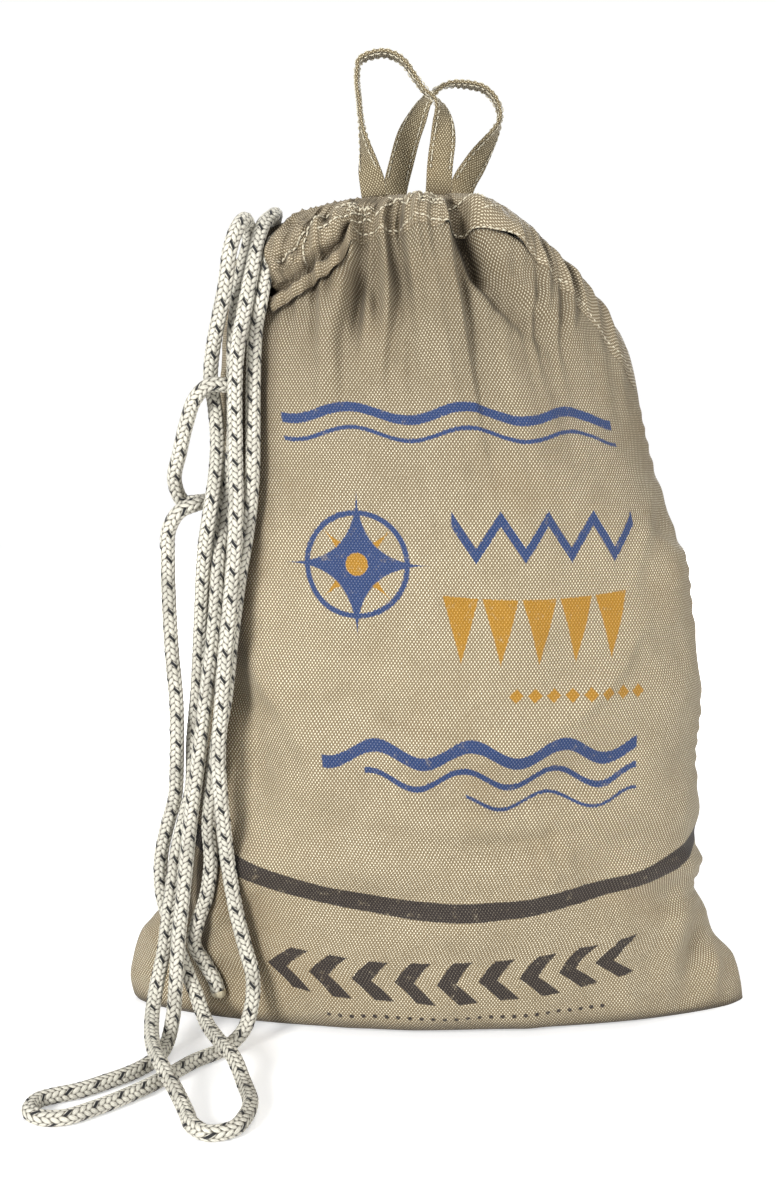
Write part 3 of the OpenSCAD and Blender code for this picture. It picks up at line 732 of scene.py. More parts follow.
def print_effect():
    """A generic printed design in millimetres: waves, a compass star, pennants, a zigzag,
    diamonds, a long stripe, chevrons and dots, as masks for its three inks."""
    tree, uv, end = effect("printed_design", ["Blue", "Ochre", "Brown"])
    u, v = split(tree, uv)
    bleed = (noise(tree, uv, 900, 2) - 0.5) * 1.6
    u, v = u * 1000.0 + bleed, v * 1000.0 - bleed

    def line(middle, thick, low, high):
        return (v - middle).math("ABSOLUTE").below(thick / 2, 0.4) * u.between(low, high, 0.5)

    def wave(rise, tall, long, shift):
        return (u / long * (2 * math.pi) + shift).math("SINE") * tall + rise

    def cell(size, shift=0.0):
        return ((u + shift) / size).math("FRACT") * size - size / 2

    def star(x, y, size):
        root = x.math("ABSOLUTE").math("SQRT") + y.math("ABSOLUTE").math("SQRT")
        return root.below(size ** 0.5, 0.12)

    x, y = u + 50.0, v - 276.0
    far = (x * x + y * y).math("SQRT")
    upright = star(x, y, 40)
    leaning = star((x + y) * 0.7071, (x - y) * 0.7071, 27)
    ring = (far - 27.0).math("ABSOLUTE").below(1.4, 0.4)
    hub = far.below(6.0, 0.4)
    zig = cell(26.0).math("ABSOLUTE") * 1.5 + 281.0
    blue = line(wave(356, 3.5, 62, 0.4), 5.2, -88, 104)
    blue = blue.math("MAXIMUM", line(wave(345, 3.5, 62, 0.4), 2.2, -88, 104))
    blue = blue.math("MAXIMUM", upright).math("MAXIMUM", ring)
    blue = blue.math("MAXIMUM", line(zig, 8.0, 0, 104))
    blue = blue.math("MAXIMUM", line(wave(176, 5, 50, 0.0), 7.0, -66, 106))
    blue = blue.math("MAXIMUM", line(wave(162, 5, 50, 0.5), 3.4, -44, 106))
    blue = blue.math("MAXIMUM", line(wave(150, 4, 50, 1.0), 1.8, 10, 106))
    rope_line = u * u * 0.0012 + 260.0 - u * 0.10
    drop = rope_line - v
    pennant = (cell(21.0, 6.0).math("ABSOLUTE") + drop * 0.27).below(9.4, 0.4)
    pennant = pennant * drop.between(0.0, 40.0, 0.4) * u.between(-6, 99, 0.5)
    diamonds = (cell(10.0).math("ABSOLUTE") + (v - 207.0).math("ABSOLUTE")).below(3.9, 0.35)
    ochre = pennant.math("MAXIMUM", diamonds * u.between(30, 110, 0.4)).math("MAXIMUM", leaning)
    ochre = ochre.math("MAXIMUM", hub) * (-blue + 1.0).math("MAXIMUM", hub)
    bent = (u - 12.0) * (u - 12.0) * 0.00125 + 88.0
    stripe = (v - bent).math("ABSOLUTE").below(5.4, 0.4)
    rise = (v - 45.0 - u * u * 0.0006).math("ABSOLUTE")
    lean = u - rise * 0.9
    chevron = (lean / 23.0).math("FRACT").below(0.46, 0.02) * rise.below(12.5, 0.4)
    dots = (cell(6.4) * cell(6.4) + (v - 22.5) * (v - 22.5)).below(1.7, 0.7)
    brown = stripe.math("MAXIMUM", chevron * lean.between(-93, 104, 0.5))
    brown = brown.math("MAXIMUM", dots * u.between(-64, 96, 0.5))
    finish_effect(tree, end, Blue=blue * (-hub + 1.0), Ochre=ochre, Brown=brown)
    return tree


canvas_weave = weave_effect("canvas_weave", 0.0018, 0.0026)


def canvas_material(name, light, dark, printed=None, weave=canvas_weave, painted_top_shade=False):
    """Coated canvas: pale floats over darker gaps, faint stains, and ink where it is printed.
    The ink lies on the raised threads and is thin and broken in the gaps. Painted shade makes a
    panel greyer towards its top, near its gathers, and darkens its folds inside."""
    made, tree, shader, uv, got = material(name, weave)
    stain = noise(tree, uv, 9, 5, 0.6)
    cloud = noise(tree, uv, 42, 3)
    tone = mixed(tree, got["Float"], dark, light)
    tone = mixed(tree, (got["Slub"] - 0.5) * 1.1, tone, dark)
    tone = mixed(tree, (cloud - 0.42) * 0.9, tone, dark)
    tone = mixed(tree, (stain - 0.52) * 1.8, tone, linear(132, 108, 72))
    # painted shade: each panel is made greyer towards its top
    if painted_top_shade:
        _, v = split(tree, uv)
        top_shade_share = ((v - 0.27) * 3.2).math("MAXIMUM", 0.0).math("MINIMUM", 0.5)
        tone = mixed(tree, top_shade_share, tone, (0.35, 0.335, 0.31, 1), "MULTIPLY")
    if printed:
        node = tree.nodes.new("ShaderNodeGroup")
        node.node_tree = printed
        tree.links.new(uv, node.inputs[0])
        worn = (noise(tree, uv, 170, 4, 0.7) * 3.2 - 0.35).math("MINIMUM", 1.0)
        hold = (got["Float"] * -0.14 + 1.0) * worn
        for ink, colour in (("Blue", linear(34, 68, 126)), ("Ochre", linear(198, 142, 16)),
                            ("Brown", linear(52, 40, 35))):
            deep = (*(0.55 * c for c in colour[:3]), 1.0)
            shade = mixed(tree, got["Float"], deep, colour)
            tone = mixed(tree, Value(tree, node.outputs[ink]) * hold, tone, shade)
    # painted shade: folds and creases are darkened by how shut in they are
    crease_occlusion = tree.nodes.new("ShaderNodeAmbientOcclusion")
    crease_occlusion.samples = 6
    crease_occlusion.inputs["Distance"].default_value = 0.014
    crease_shade = (-Value(tree, crease_occlusion.outputs["AO"]) + 0.92) * 1.5
    crease_shade = crease_shade.math("MAXIMUM", 0.0).math("MINIMUM", 0.85)
    tone = mixed(tree, crease_shade, tone, (0.20, 0.17, 0.13, 1), "MULTIPLY")
    tree.links.new(tone, shader.inputs["Base Color"])
    shader.inputs["Roughness"].default_value = 0.58
    shader.inputs["Specular IOR Level"].default_value = 0.35
    shader.inputs["Sheen Weight"].default_value = 0.08
    bumped(tree, shader, got["Height"] + got["Slub"] * 0.2, 0.0006, 1.0)
    return made


canvas_light, canvas_dark = linear(255, 246, 219), linear(126, 110, 82)
front_panel = panel_piece("front_cloth", front_folds, 11, back=False)
front_panel.data.materials.append(
    canvas_material("printed_canvas", canvas_light, canvas_dark, print_effect(), painted_top_shade=True))
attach(front_panel, "sack")
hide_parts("front_panel")

# ---- Back panel -------------------------------------------------------------
# The same cloth on the other side, without a print, with the folds of its own gathers.
back_folds = [
    ([(-8, 455, 5), (-4, 430, 5.5), (2, 402, 4), (6, 370, 1.8), (9, 340, 0.2)], 8, 3, 8),
    ([(40, 450, 3), (48, 424, 4), (58, 392, 3), (66, 350, 0.6)], 4, 10, 0),
    ([(-48, 448, 3), (-56, 420, 4), (-66, 386, 2.8), (-74, 345, 0.4)], 10, 4, 0),
    ([(78, 420, 2), (88, 392, 2.6), (98, 352, 0.6)], 6, 6, 0),
    ([(-84, 416, 2), (-92, 386, 2.2), (-98, 346, 0.4)], 6, 6, 0),
    ([(-100, 168, 0.6), (-50, 138, 2.2), (10, 130, 2.6), (66, 142, 2.0), (110, 172, 0.5)], 15, 11, 0),
    ([(60, 238, 0.4), (84, 204, 2.0), (112, 182, 0.6)], 7, 9, 0),
    ([(142, 92, 0.5), (136, 60, 3.0), (128, 26, 1.4)], 8, 8, 0),
    ([(-142, 92, 0.5), (-136, 60, 3.0), (-128, 26, 1.4)], 8, 8, 0)]
back_panel = panel_piece("back_cloth", back_folds, 57, back=True)
plain_canvas = canvas_material("plain_canvas", canvas_light, canvas_dark, painted_top_shade=True)
back_panel.data.materials.append(plain_canvas)
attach(back_panel, "sack")
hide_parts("back_panel")

# ---- Seams ------------------------------------------------------------------
# The allowances of the side and bottom seams, turned into the sack: two thicknesses of
# canvas, raw at the edge, pressed flat by the needle's rows.
inside_canvas = canvas_material("inside_canvas", linear(196, 182, 152), linear(110, 96, 72))


def strip(path, inward, wide, half):
    """Rings and UV of a flat allowance along a path: its rounded section, half thick, reaches
    wide towards inward."""
    sides = 16
    angle = 2 * np.pi * np.arange(sides) / sides
    reach = wide / 2 * (1 - np.sign(np.cos(angle)) * np.abs(np.cos(angle)) ** 0.35)
    thick = half * np.sign(np.sin(angle)) * np.abs(np.sin(angle)) ** 0.35
    fray = 1 + 0.03 * np.sin(arc(path)[:, None] * 900) * (reach > wide / 2)
    grid = (path[:, None] + (reach * fray)[..., None] * np.asarray(inward, float)
            + thick[None, :, None] * np.array([0.0, 1.0, 0.0]))
    return grid, arc(np.concatenate([grid, grid[:, :1]], 1), 1), arc(path)[:, None]


for name, table, sign, node in (("left_allowance", left_reach, -1, "side_seam_left"),
                                ("right_allowance", right_reach, 1, "side_seam_right")):
    v = np.linspace(0.035, 0.985, 190)
    x = sign * (smooth(v, table) / 1000 - 0.0022)
    edge = np.stack([x, 0 * v, v * rim_height(0.5 + sign / 2)], 1)
    piece = tube(name, *strip(edge, (-sign, 0, 0), 0.0095, 0.0011), flip=sign < 0)
    piece.data.materials.append(inside_canvas)
    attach(piece, "sack")
    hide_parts(node)

x = np.linspace(-0.172, 0.176, 180)
edge = np.stack([x, 0 * x, 0 * x + 0.0006], 1)
bottom = tube("bottom_allowance", *strip(edge, (0, 0, 1), 0.0092, 0.0011), flip=True)
bottom.data.materials.append(inside_canvas)
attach(bottom, "sack")
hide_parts("bottom_seam")


# ---- Hem tunnel -------------------------------------------------------------
# The top of each panel is turned over outwards and sewn down, which makes the tunnel that
# the drawcord gathers. On the front's left it hangs open in a pouch with a rolled cuff.
def near_rim(w, u):
    """The plain front at u metres down from the rim, square to the rim's slope."""
    v = 1 - np.maximum(u, 0) * rim_slant(w) / rim_height(w)
    spot = sack_front(w, v)
    spot[..., 2] += np.maximum(-u, 0)
    return spot


# millimetres down from the rim, then the least that the hem stands out over the drawcord
cord_cover = [(-1, 1.8), (2.5, 4.4), (6, 7.4), (9.5, 9.0), (13.5, 9.0), (16.8, 7.2), (20, 3.4),
              (23, 1.7), (27, 1.3), (60, 1.3)]


def pouch(w):
    """1 where the front hem hangs open at the left, 0 elsewhere."""
    return step(w, 0.10, 0.14) * (1 - step(w, 0.30, 0.345))


def collar(w):
    """1 where the front hem's lower edge stands off, to the right of the pleat."""
    return step(w, 0.545, 0.57) * (1 - step(w, 0.70, 0.78))


def hem_depth(w, back):
    """Millimetres from the rim to the hem's lower edge."""
    deep = 27 + 0.6 * np.sin(w * 41) + 0.4 * np.sin(w * 97)
    return deep if back else deep + (28 - 75 * (w - 0.14)) * pouch(w) - 3 * collar(w)


def ruffle(w, u, back):
    """Outward gathers in millimetres: fine and sharp to the left, low and wide to the right."""
    shift = 1.1 * ripple(w, u / 900, 0.10, 5 + back)
    fine = 1 - np.abs(np.sin(np.pi * 58 * w + shift + 0.03 * u)) ** 0.7
    wide = 0.5 + 0.5 * np.sin(2 * np.pi * 19 * w + 2 * shift - 0.04 * u)
    left = 1 - step(w, 0.33, 0.42)
    amount = np.maximum(0.75 + 0.45 * ripple(w, u / 500, 0.06, 8 + back), 0.15)
    return amount * (2.7 * fine * (0.18 + 0.82 * left) + 0.9 * wide * (1 - 0.4 * left))


def hem_out(w, u, x, z, back):
    """Millimetres from the plain front to the hem's outer face, u millimetres down."""
    folds, seed = (back_folds, 57) if back else (front_folds, 11)
    puff, tall = cloth_out(x, z, w, u, folds, seed, back)
    tall = tall * step(u, -5, 9) * step(w, 0.12, 0.17) * (1 - step(w, 0.93, 1.0))
    edge = 0.4 if back else 0.22 + 1.2 * collar(w)
    out = puff + tall + edge + 0.62 * ruffle(w, u, back) * step(u, -6, 3) * (1 - 0.6 * step(u, 14, 27))
    if not back:
        deep = hem_depth(w, back)
        open_part = pouch(w)
        crumple = 2.2 * ripple(x, z, 21, 71) + 1.3 * ripple(x, z, 9, 72)
        out = out + open_part * (9 + crumple) * step(u, 8, 26) * (1 - step(u, deep - 14, deep - 12.5))
        out = out - open_part * 5.0 * step(u, deep - 13.5, deep - 12)
        cuff = step(u, deep - 9.5, deep - 7.5) * (1 - 0.3 * ((u - deep + 4.5) / 4.5) ** 2)
        out = out + open_part * 11.0 * cuff
    least = smooth(np.clip(u, -1, 59), cord_cover)
    return np.logaddexp(2.0 * out, 2.0 * least) / 2.0 - 0.15


def hem_outside(w, u, back):
    """Points and normals of the hem's outer face at u millimetres down from the rim."""
    w, u = np.broadcast_arrays(np.asarray(w, float), np.asarray(u, float))
    base = near_rim(w, u / 1000)
    aside = near_rim(np.minimum(w + 0.003, 1), u / 1000) - near_rim(np.maximum(w - 0.003, 0), u / 1000)
    down = np.maximum(u, 0.6)
    up = near_rim(w, (down - 0.5) / 1000) - near_rim(w, (down + 0.5) / 1000)
    normal = unit(np.cross(aside, up))
    out = hem_out(w, u, base[..., 0] * 1000, base[..., 2] * 1000, back)
    return base, normal, out


def hem_piece(name, back):
    """The hem as a closed shell: its section runs from the lower edge up over the cord,
    round the rim to the inside and down again behind the outer face."""
    steps_along, steps_down, steps_inside = 560, 40, 18
    w = 1 - (1 - np.linspace(0, 1, steps_along)) ** 1.12 * 0.865
    w = np.minimum(w, 0.9995)[:, None]
    deep = hem_depth(w, back)
    down = np.linspace(1, 0, steps_down)[None] ** 1.15
    u = -1.0 + (deep + 1.0) * (1 - (1 - down) ** 1.25)
    base, normal, out = hem_outside(w, u, back)
    if not back:
        least = smooth(np.clip(u, -1, 59), cord_cover)
        out = np.minimum(out, np.maximum(rope_room(base), least))
    outer = base + normal * (out / 1000)[..., None]
    frill = 0.55 * ruffle(w, np.full_like(w, 2.0), back) * (0.45 + 0.55 * (1 - step(w, 0.30, 0.42)))
    rim_base, rim_normal, _ = hem_outside(w, np.full_like(w, 0.6), back)
    up = np.array([0, 0, 1.0])
    caps = [rim_base + rim_normal * n / 1000 + up * ((t + 0.6 + frill) / 1000)[..., None]
            for t, n in ((1.3, 1.6), (1.7, 0.3), (1.6, -0.9), (0.9, -1.6), (-0.4, -1.6), (0.2, 0.2))]
    outer[:, -1, 2] += 0.6 * frill[:, 0] / 1000
    back_down = np.linspace(0.06, 0.985, steps_inside)[None]
    inner_u = back_down * deep
    inner_base, inner_normal, inner_out = hem_outside(w, inner_u, back)
    inner = inner_base + inner_normal * (np.maximum(inner_out - 1.2, 0.12) / 1000)[..., None]
    grid = np.concatenate([outer, *caps, inner], 1)
    shut = grid[-1:] * (1, 0, 1) - (0, 0.0001, 0)
    grid = np.concatenate([grid, shut], 0)
    if back:
        grid = grid * (1, -1, 1)
    around = arc(np.concatenate([grid, grid[:, :1]], 1), 1)
    run = arc(base[:, steps_down // 2])
    run = np.append(run, run[-1] + 0.001)[:, None]
    return tube(name, grid, around - around[:, steps_down, None], run, flip=not back)


# painted shade: the hem's canvas is a darker copy of the panels' canvas, for the shade over the sack's top
hem_canvas_shaded = canvas_material("hem_canvas_shaded", linear(240, 227, 199), linear(118, 104, 79))
for name, back, node in (("front_tunnel", False, "front_hem"), ("back_tunnel", True, "back_hem")):
    piece = hem_piece(name, back)
    piece.data.materials.append(hem_canvas_shaded)
    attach(piece, "sack")
    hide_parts(node)

# ---- Drawcord in the tunnel -------------------------------------------------
# The run of the cord that gathers the mouth: in at the left through the back hem, right
# round inside the tunnel and out through the front one.
share = np.linspace(0.1464, 0.998, 34)
base, normal, _ = hem_outside(share, np.full_like(share, 11.5), False)
round_front = base + normal * 0.0043
tunnel_points = np.vstack([np.array(short_exit) / 1000, round_front, round_front[::-1] * (1, -1, 1),
                           np.array(long_exit) / 1000])
tunnel_path = through(tunnel_points, 0.0015)
tunnel_cord = braided("tunnel_cord", tunnel_path, radius=0.0038)
tunnel_cord.data.materials.append(cord_look)
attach(tunnel_cord, "sack")
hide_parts("drawcord_in_hem")


# ---- Hem stitching ----------------------------------------------------------
# Heavy pale thread. One row closes each tunnel along its lower edge; on the front further
# rows hold the gathers and the pouch, slanting over the folds as they were sewn.
def threads(name, starts, ends, normals, radius, rise):
    """Many stitches in one mesh: each an arch from start to end whose ends dip into the cloth."""
    rings, sides = 7, 8
    each = rings * sides
    t = np.linspace(0, 1, rings)
    arch = np.sin(np.pi * t) ** 0.6 * 1.6 - 0.6
    span = ends - starts
    aside = unit(np.cross(span, normals))
    middle = starts[:, None] + span[:, None] * t[:, None] + normals[:, None] * (rise * arch)[:, None]
    angle = 2 * np.pi * np.arange(sides) / sides
    slim = radius * (0.55 + 0.45 * np.sin(np.pi * t) ** 0.5)
    ring = (np.cos(angle)[:, None] * aside[:, None, None] + np.sin(angle)[:, None] * normals[:, None, None])
    grid = middle[:, :, None] + slim[None, :, None, None] * ring
    count = len(starts)
    corners, places = grid_corners(rings, sides + 1, sides, False)
    offset = each * np.arange(count)[:, None, None]
    faces = (corners[None] + offset).reshape(-1, 4).tolist()
    first = np.arange(sides)[::-1]
    last = first[::-1] + each - sides
    caps = np.concatenate([first[None] + offset[:, 0], last[None] + offset[:, 0]])
    long = np.linalg.norm(span, axis=-1)
    turn = np.arange(sides + 1) / sides
    table = np.stack(np.broadcast_arrays(turn, t[:, None] * long[:, None, None]), -1)
    uv = table.reshape(count, -1, 2)[:, places.ravel()].reshape(-1, 2)
    return mesh_piece(name, grid, faces + caps.tolist(), np.concatenate([uv, np.zeros((caps.size, 2))]))


def thread_material():
    """Sewing thread: pale twisted yarn, its turns as slanting lines."""
    made, tree, shader, uv, _ = material("thread")
    turn, run = split(tree, uv)
    twist = ((run * 1400.0 + turn) * (2 * math.pi)).math("SINE") * 0.5 + 0.5
    tone = mixed(tree, twist * 0.8, linear(236, 229, 207), linear(176, 164, 136))
    tree.links.new(tone, shader.inputs["Base Color"])
    shader.inputs["Roughness"].default_value = 0.5
    bumped(tree, shader, twist, 0.0002)
    return made


thread_look = thread_material()


def sewn_line(line, back, length=3.0, gap=0.7, lift=0.15):
    """Stitch ends and normals along a drawn line of w and millimetres below the rim.
    On the right shoulder the thread lies sunk in the cloth."""
    samples = 400
    line = np.asarray(line, float)
    t = np.linspace(0, len(line) - 1, samples)
    w = np.interp(t, range(len(line)), line[:, 0])
    u = np.interp(t, range(len(line)), line[:, 1])
    base, normal, out = hem_outside(w, u, back)
    sunk = lift - 0.5 * step(w, 0.60, 0.72)
    spots = base + normal * ((out + sunk) / 1000)[..., None]
    run = arc(spots) * 1000
    count = max(1, int(run[-1] / (length + gap)))
    begin = np.arange(count) * (length + gap)
    pick = [np.clip(np.searchsorted(run, begin + d), 0, samples - 1) for d in (0.0, length)]
    flip = (1, -1, 1) if back else (1, 1, 1)
    return spots[pick[0]] * flip, spots[pick[1]] * flip, normal[pick[0]] * flip


# each row of stitches: points of w and millimetres down from the rim
front_rows = [
    [(w, 23.5 + 0.8 * math.sin(50 * w)) for w in np.linspace(0.33, 0.985, 30)],
    [(0.165, 34), (0.19, 31), (0.21, 27), (0.235, 22.5), (0.26, 18), (0.285, 13)],
    [(0.215, 41), (0.225, 35), (0.222, 29), (0.24, 22)],
    [(0.285, 13), (0.31, 10.5), (0.335, 8.5)],
    [(0.262, 25), (0.29, 23), (0.315, 20), (0.34, 14)],
    [(0.385, 16), (0.41, 10), (0.43, 5), (0.445, 9), (0.46, 14), (0.47, 8), (0.49, 3)],
    [(0.40, 4), (0.44, 7), (0.48, 4.5), (0.52, 6), (0.545, 12)],
    [(0.565, 12), (0.60, 8), (0.625, 4), (0.645, 9), (0.67, 4)],
    [(0.645, 16), (0.675, 10), (0.70, 5)],
    [(0.33, 20), (0.36, 16), (0.39, 20)]]
back_rows = [[(w, 23.5 + 0.8 * math.sin(47 * w)) for w in np.linspace(0.16, 0.985, 40)],
             [(0.42, 14), (0.46, 6), (0.50, 12), (0.54, 5), (0.58, 12)],
             [(0.22, 8), (0.28, 12), (0.34, 8)]]
for name, rows, back, node in (("front_hem_thread", front_rows, False, "front_hem_stitching"),
                               ("back_hem_thread", back_rows, True, "back_hem_stitching")):
    sets = [sewn_line(row, back, lift=0.15 if k else -0.2) for k, row in enumerate(rows)]
    starts, ends, normals = (np.concatenate([s[k] for s in sets]) for k in range(3))
    piece = threads(name, starts, ends, normals, 0.0005, 0.0005)
    piece.data.materials.append(thread_look)
    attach(piece, "sack")
    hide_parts(node)

# ---- Carry loops ------------------------------------------------------------
# Two loops of canvas tape, folded to fourteen millimetres and sewn along both edges, that
# stand on the hem: the front one half closed on itself, the back one leaning to the right.
tape_weave = weave_effect("tape_weave", 0.0016, 0.0022)
# the tape's own colour, made darker with painted shade over the sack's top
tape_canvas_shaded = canvas_material("tape_canvas_shaded", linear(232, 219, 184), linear(104, 90, 63), weave=tape_weave)
tape_half, tape_thick, row_at = 7.0, 1.1, 5.2
foot_z = 460.5
# x, y and z from a loop's foot in millimetres, and how far the tape is turned in degrees
front_loop = [
    [-36, 0, -1.5, 0], [-37, 0, 6, 10], [-39, 0, 14, 35], [-41, 0, 24, 65],
    [-43, 0, 36, 85], [-44.5, -0.5, 50, 90], [-45.5, -1, 63, 90], [-44.5, -1.5, 69.5, 90],
    [-41, -1.5, 72, 90], [-31, -1.5, 74, 90], [-22, -1, 71, 90], [-15, -0.5, 62.5, 90],
    [-8.5, 0, 54.5, 88], [-3, 0, 50, 80], [0, 0, 45, 60], [1, 0, 38, 35],
    [0.8, 0, 30, 15], [0, 0, 20, 0], [-1, 0, 10, 0], [-2, 0, -1.5, 0]]
back_loop = [
    [-26, 0, -1.5, 0], [-24, 0, 12, 0], [-21, 0, 25, 5], [-16, 0, 40, 20],
    [-10, 0, 53, 50], [-3, 0, 62, 75], [5, 0, 66, 85], [14, 0, 66, 90],
    [24, 0, 64, 90], [31, 0, 58, 90], [34.5, 0, 48.5, 90], [31.5, 0, 40, 75],
    [26, 0, 31, 50], [20, 0, 22, 25], [14, 0, 11, 5], [10, 0, -1.5, 0]]


def tape_frame(points, foot_y):
    """Middle line of a tape with its directions ahead, across its width and through it."""
    q = through(np.array(points, float) * (0.001, 0.001, 0.001, 1), 0.0011)
    middle = q[:, :3] + (0, foot_y, foot_z / 1000)
    ahead = unit(np.gradient(middle, axis=0))
    turn = np.radians(q[:, 3:])
    forth = np.array([0, 1.0, 0])
    wide = unit(np.cross(ahead, forth)) * np.cos(turn) + forth * np.sin(turn)
    flat = unit(wide - ahead * (wide * ahead).sum(1, keepdims=True))
    return middle, flat, np.cross(ahead, flat)


def tape_piece(name, middle, flat, thick):
    """Folded tape: a flat section with round edges, pulled in a little along its sewn rows."""
    sides = 40
    angle = 2 * np.pi * (np.arange(sides) + 0.5) / sides
    a = tape_half * np.sign(np.cos(angle)) * np.abs(np.cos(angle)) ** 0.55
    b = tape_thick * np.sign(np.sin(angle)) * np.abs(np.sin(angle)) ** 0.45
    b = b * (1 - 0.28 * np.exp(-((np.abs(a) - row_at) / 0.7) ** 2))
    run = arc(middle)[:, None] * 1000
    near_edge = np.exp(-((np.abs(a) - 6) / 1.6) ** 2)
    sag = 0.22 * ripple(run, 0 * run, 17, 3) + 0.10 * np.sin(run * 1.7) * near_edge
    wave = a + 0.25 * np.sin(run / 5.3)
    grid = middle[:, None] + (wave[..., None] * flat[:, None] + (b + sag)[..., None] * thick[:, None]) / 1000
    ring = np.concatenate([grid, grid[:, :1]], 1)
    return tube(name, grid, arc(ring, 1), arc(middle)[:, None])


def tape_threads(name, middle, flat, thick):
    """The stitches along both edges of a tape, on both of its faces."""
    run = arc(middle) * 1000
    begin = np.arange(13.0, run[-1] - 17.0, 3.6)
    starts, ends, normals = [], [], []
    for edge in (-row_at, row_at):
        for face in (-1, 1):
            shift = 1.8 * (face > 0)
            line = middle + (edge * flat + face * 1.02 * thick) / 1000
            a = np.searchsorted(run, begin + shift)
            b = np.searchsorted(run, np.minimum(begin + shift + 2.9, run[-1] - 0.5))
            starts.append(line[a])
            ends.append(line[b])
            normals.append(face * thick[a])
    return threads(name, *(np.concatenate(k) for k in (starts, ends, normals)), 0.00036, 0.0004)


for name, points, foot_y, body, node in (
        ("front_tape", front_loop, -0.0185, "front_loop", "front_carry_loop"),
        ("back_tape", back_loop, 0.0185, "back_loop", "back_carry_loop")):
    lines = tape_frame(points, foot_y)
    piece = tape_piece(name, *lines)
    piece.data.materials.append(tape_canvas_shaded)
    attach(piece, body)
    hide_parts(node)
    sewn = tape_threads(name + "_thread", *lines)
    sewn.data.materials.append(thread_look)
    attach(sewn, body)

# ---- Loop tacks -------------------------------------------------------------
# Short dense zigzags of the same thread across the hem under each foot of a loop.
for name, feet, back, node in (("front_tacks", (-36, -2), False, "front_loop_tacks"),
                               ("back_tacks", (-26, 10), True, "back_loop_tacks")):
    sets = []
    for foot in feet:
        w = (np.linspace(foot - 6.5, foot + 6.5, 13) + rim_left) / rim_wide
        zig = [(a, 10.0 + 3.2 * (k % 2)) for k, a in enumerate(w)]
        sets.append(sewn_line(zig, back, 2.9, 0.25))
        sets.append(sewn_line([(w[0], 14.6), (w[-1], 14.6)], back, 2.4, 0.4))
    starts, ends, normals = (np.concatenate([s[k] for s in sets]) for k in range(3))
    piece = threads(name, starts, ends, normals, 0.0004, 0.0004)
    piece.data.materials.append(thread_look)
    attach(piece, "sack")
    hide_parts(node)

# ---- Stowed throw line ------------------------------------------------------
# Ten millimetre floating line, wound into one ring that fills the belly and gives the
# sack its shape: its outer turns over a plain heart, and a woven band round them.
# height of the ring's middle, its middle radius, and its section's half depth and half height
coil_z, coil_middle, coil_half, coil_wide = 0.14117, 0.09293, 0.048, 0.0379
turns, ring_steps = 27, 96
line_r, line_in, line_aside = 0.0049, 0.0045, 0.005
share = np.arange(turns * ring_steps + 1) / ring_steps
round_ring = 2 * np.pi * share
place = 2 * np.pi * share / turns
radius = coil_middle + (coil_wide - line_in) * np.cos(place)
coil_path = np.stack([radius * np.cos(round_ring), (coil_half - line_aside) * np.sin(place),
                      coil_z + radius * np.sin(round_ring)], 1)
line_look = cord_material("throw_line", linear(216, 160, 48), linear(120, 80, 20), linear(30, 44, 90))
throw_line = braided("wound_line", coil_path, radius=line_r, sides=10)
throw_line.data.materials.append(line_look)

heart_wide, heart_half, sides = 0.030, 0.039, 28
angle = 2 * np.pi * np.arange(sides) / sides
ring_at = 2 * np.pi * np.arange(ring_steps + 1) / ring_steps
core_r = coil_middle + heart_wide * np.cos(angle)
core_grid = np.stack([core_r[None] * np.cos(ring_at)[:, None],
                      0 * ring_at[:, None] + heart_half * np.sin(angle)[None],
                      coil_z + core_r[None] * np.sin(ring_at)[:, None]], -1)
core = tube("line_heart", core_grid, np.arange(sides + 1) / sides, ring_at[:, None] * 0.09)
core.data.materials.append(line_look)
for piece in (throw_line, core):
    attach(piece, "sack")
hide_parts("throw_line_coil")

# the tie band: a rounded section of 16 mm webbing carried round the ring's own section
angle = 2 * np.pi * np.arange(73) / 72
x = 0.008 * np.array([-1, -0.97, 0.97, 1, 1, 0.97, -0.97, -1])
grow = np.array([0.0014, 0.0011, 0.0011, 0.0014, 0.0026, 0.0030, 0.0030, 0.0026])
tie_grid = np.stack(np.broadcast_arrays(
    x[None], ((coil_half + grow)[None] * np.sin(angle)[:, None]),
    coil_z + coil_middle + (coil_wide + grow)[None] * np.cos(angle)[:, None]), -1)
tie = tube("line_tie", tie_grid, np.arange(9) * 0.004, angle[:, None] * 0.043, flip=True)
band_look = canvas_material("tie_band", linear(60, 60, 66), linear(18, 18, 22), weave=tape_weave)
tie.data.materials.append(band_look)
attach(tie, "sack")
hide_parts("coil_tie")

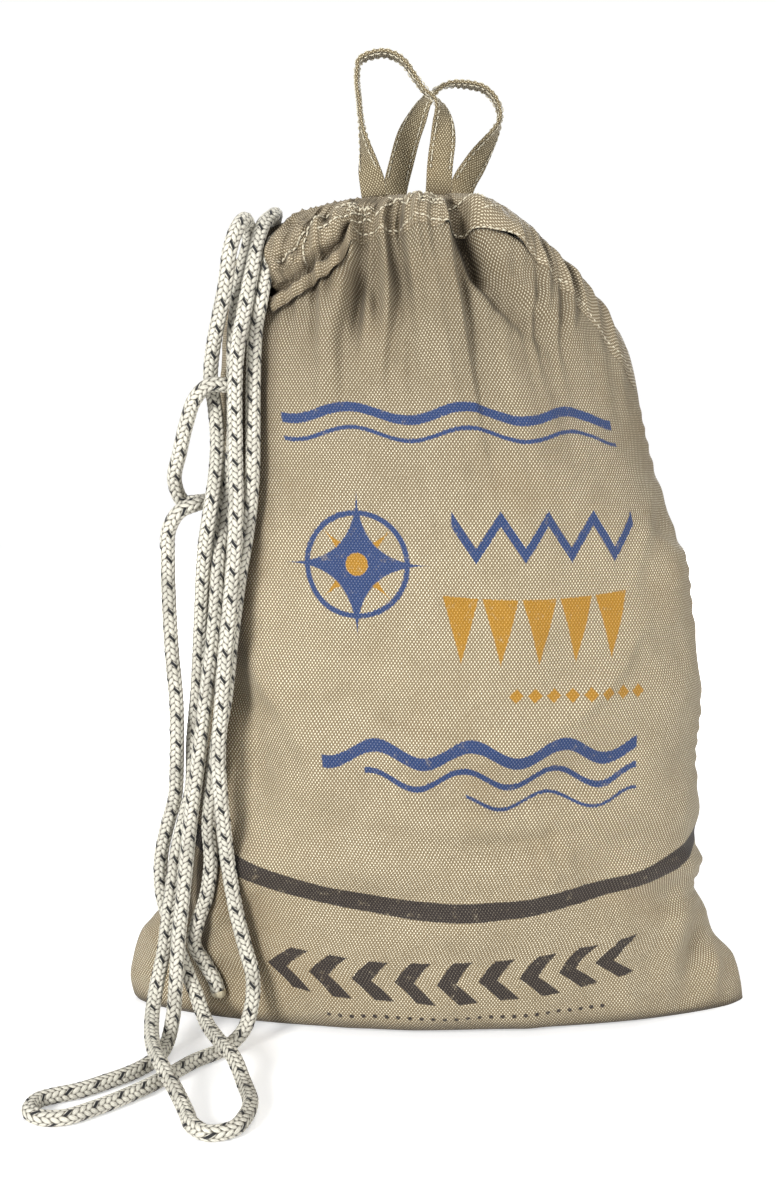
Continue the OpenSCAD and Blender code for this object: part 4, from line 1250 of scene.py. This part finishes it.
# ---- Floor and light --------------------------------------------------------
# A white floor that keeps the shadow and fades into a white sky, and wide soft lamps as in
# a product picture.
floor_reach, floor_z = 3, -0.0002
floor_grid = np.array([[[a * floor_reach, b * floor_reach, floor_z] for a in (-1, 1)] for b in (-1, 1)])
floor = mesh_piece("floor", floor_grid, [[0, 1, 3, 2]], np.array([[0, 0], [1, 0], [1, 1], [0, 1]]))
white, tree, shader, _, _ = material("floor")
shader.inputs["Base Color"].default_value = (0.86, 0.86, 0.86, 1)
shader.inputs["Roughness"].default_value = 0.9
shader.inputs["Specular IOR Level"].default_value = 0.0
seen = tree.nodes.new("ShaderNodeLightPath")
spot = tree.nodes.new("ShaderNodeNewGeometry")
away = tree.nodes.new("ShaderNodeVectorMath")
away.operation = "LENGTH"
tree.links.new(spot.outputs["Position"], away.inputs[0])
fade = ((Value(tree, away.outputs["Value"]) - 0.35) * 1.2).math("MAXIMUM", 0.0) + 0.44
glow = fade * Value(tree, seen.outputs["Is Camera Ray"])
tree.links.new(glow.socket, shader.inputs["Emission Strength"])
shader.inputs["Emission Color"].default_value = (1, 1, 1, 1)
floor.data.materials.append(white)

for name, place, aim, size, power in (("key", (-1.2, -1.7, 0.85), (0, 0, 0.2), 0.55, 49),
                                      ("fill", (1.5, -1.5, 0.5), (0, 0, 0.15), 1.2, 25),
                                      ("top", (0.1, 0.1, 2.1), (0, 0, 0.2), 1.3, 12),
                                      ("rear", (0.7, 1.9, 1.1), (0, 0, 0.2), 1.2, 20)):
    lamp = bpy.data.objects.new(name, bpy.data.lights.new(name, "AREA"))
    bpy.context.scene.collection.objects.link(lamp)
    lamp.data.size = size
    lamp.data.energy = power
    lamp.location = place
    back_way = unit(np.subtract(place, aim))
    lamp.rotation_euler = (math.acos(back_way[2]), 0, math.atan2(back_way[1], back_way[0]) + math.pi / 2)

world = bpy.data.worlds.new("studio")
bpy.context.scene.world = world
world.use_nodes = True
sky = world.node_tree.nodes["Background"]
sky.inputs["Color"].default_value = (1, 1, 1, 1)
seen = world.node_tree.nodes.new("ShaderNodeLightPath")
bright = Value(world.node_tree, seen.outputs["Is Camera Ray"]) * 0.8 + 0.21
world.node_tree.links.new(bright.socket, sky.inputs["Strength"])

bpy.context.scene.view_settings.view_transform = "Standard"
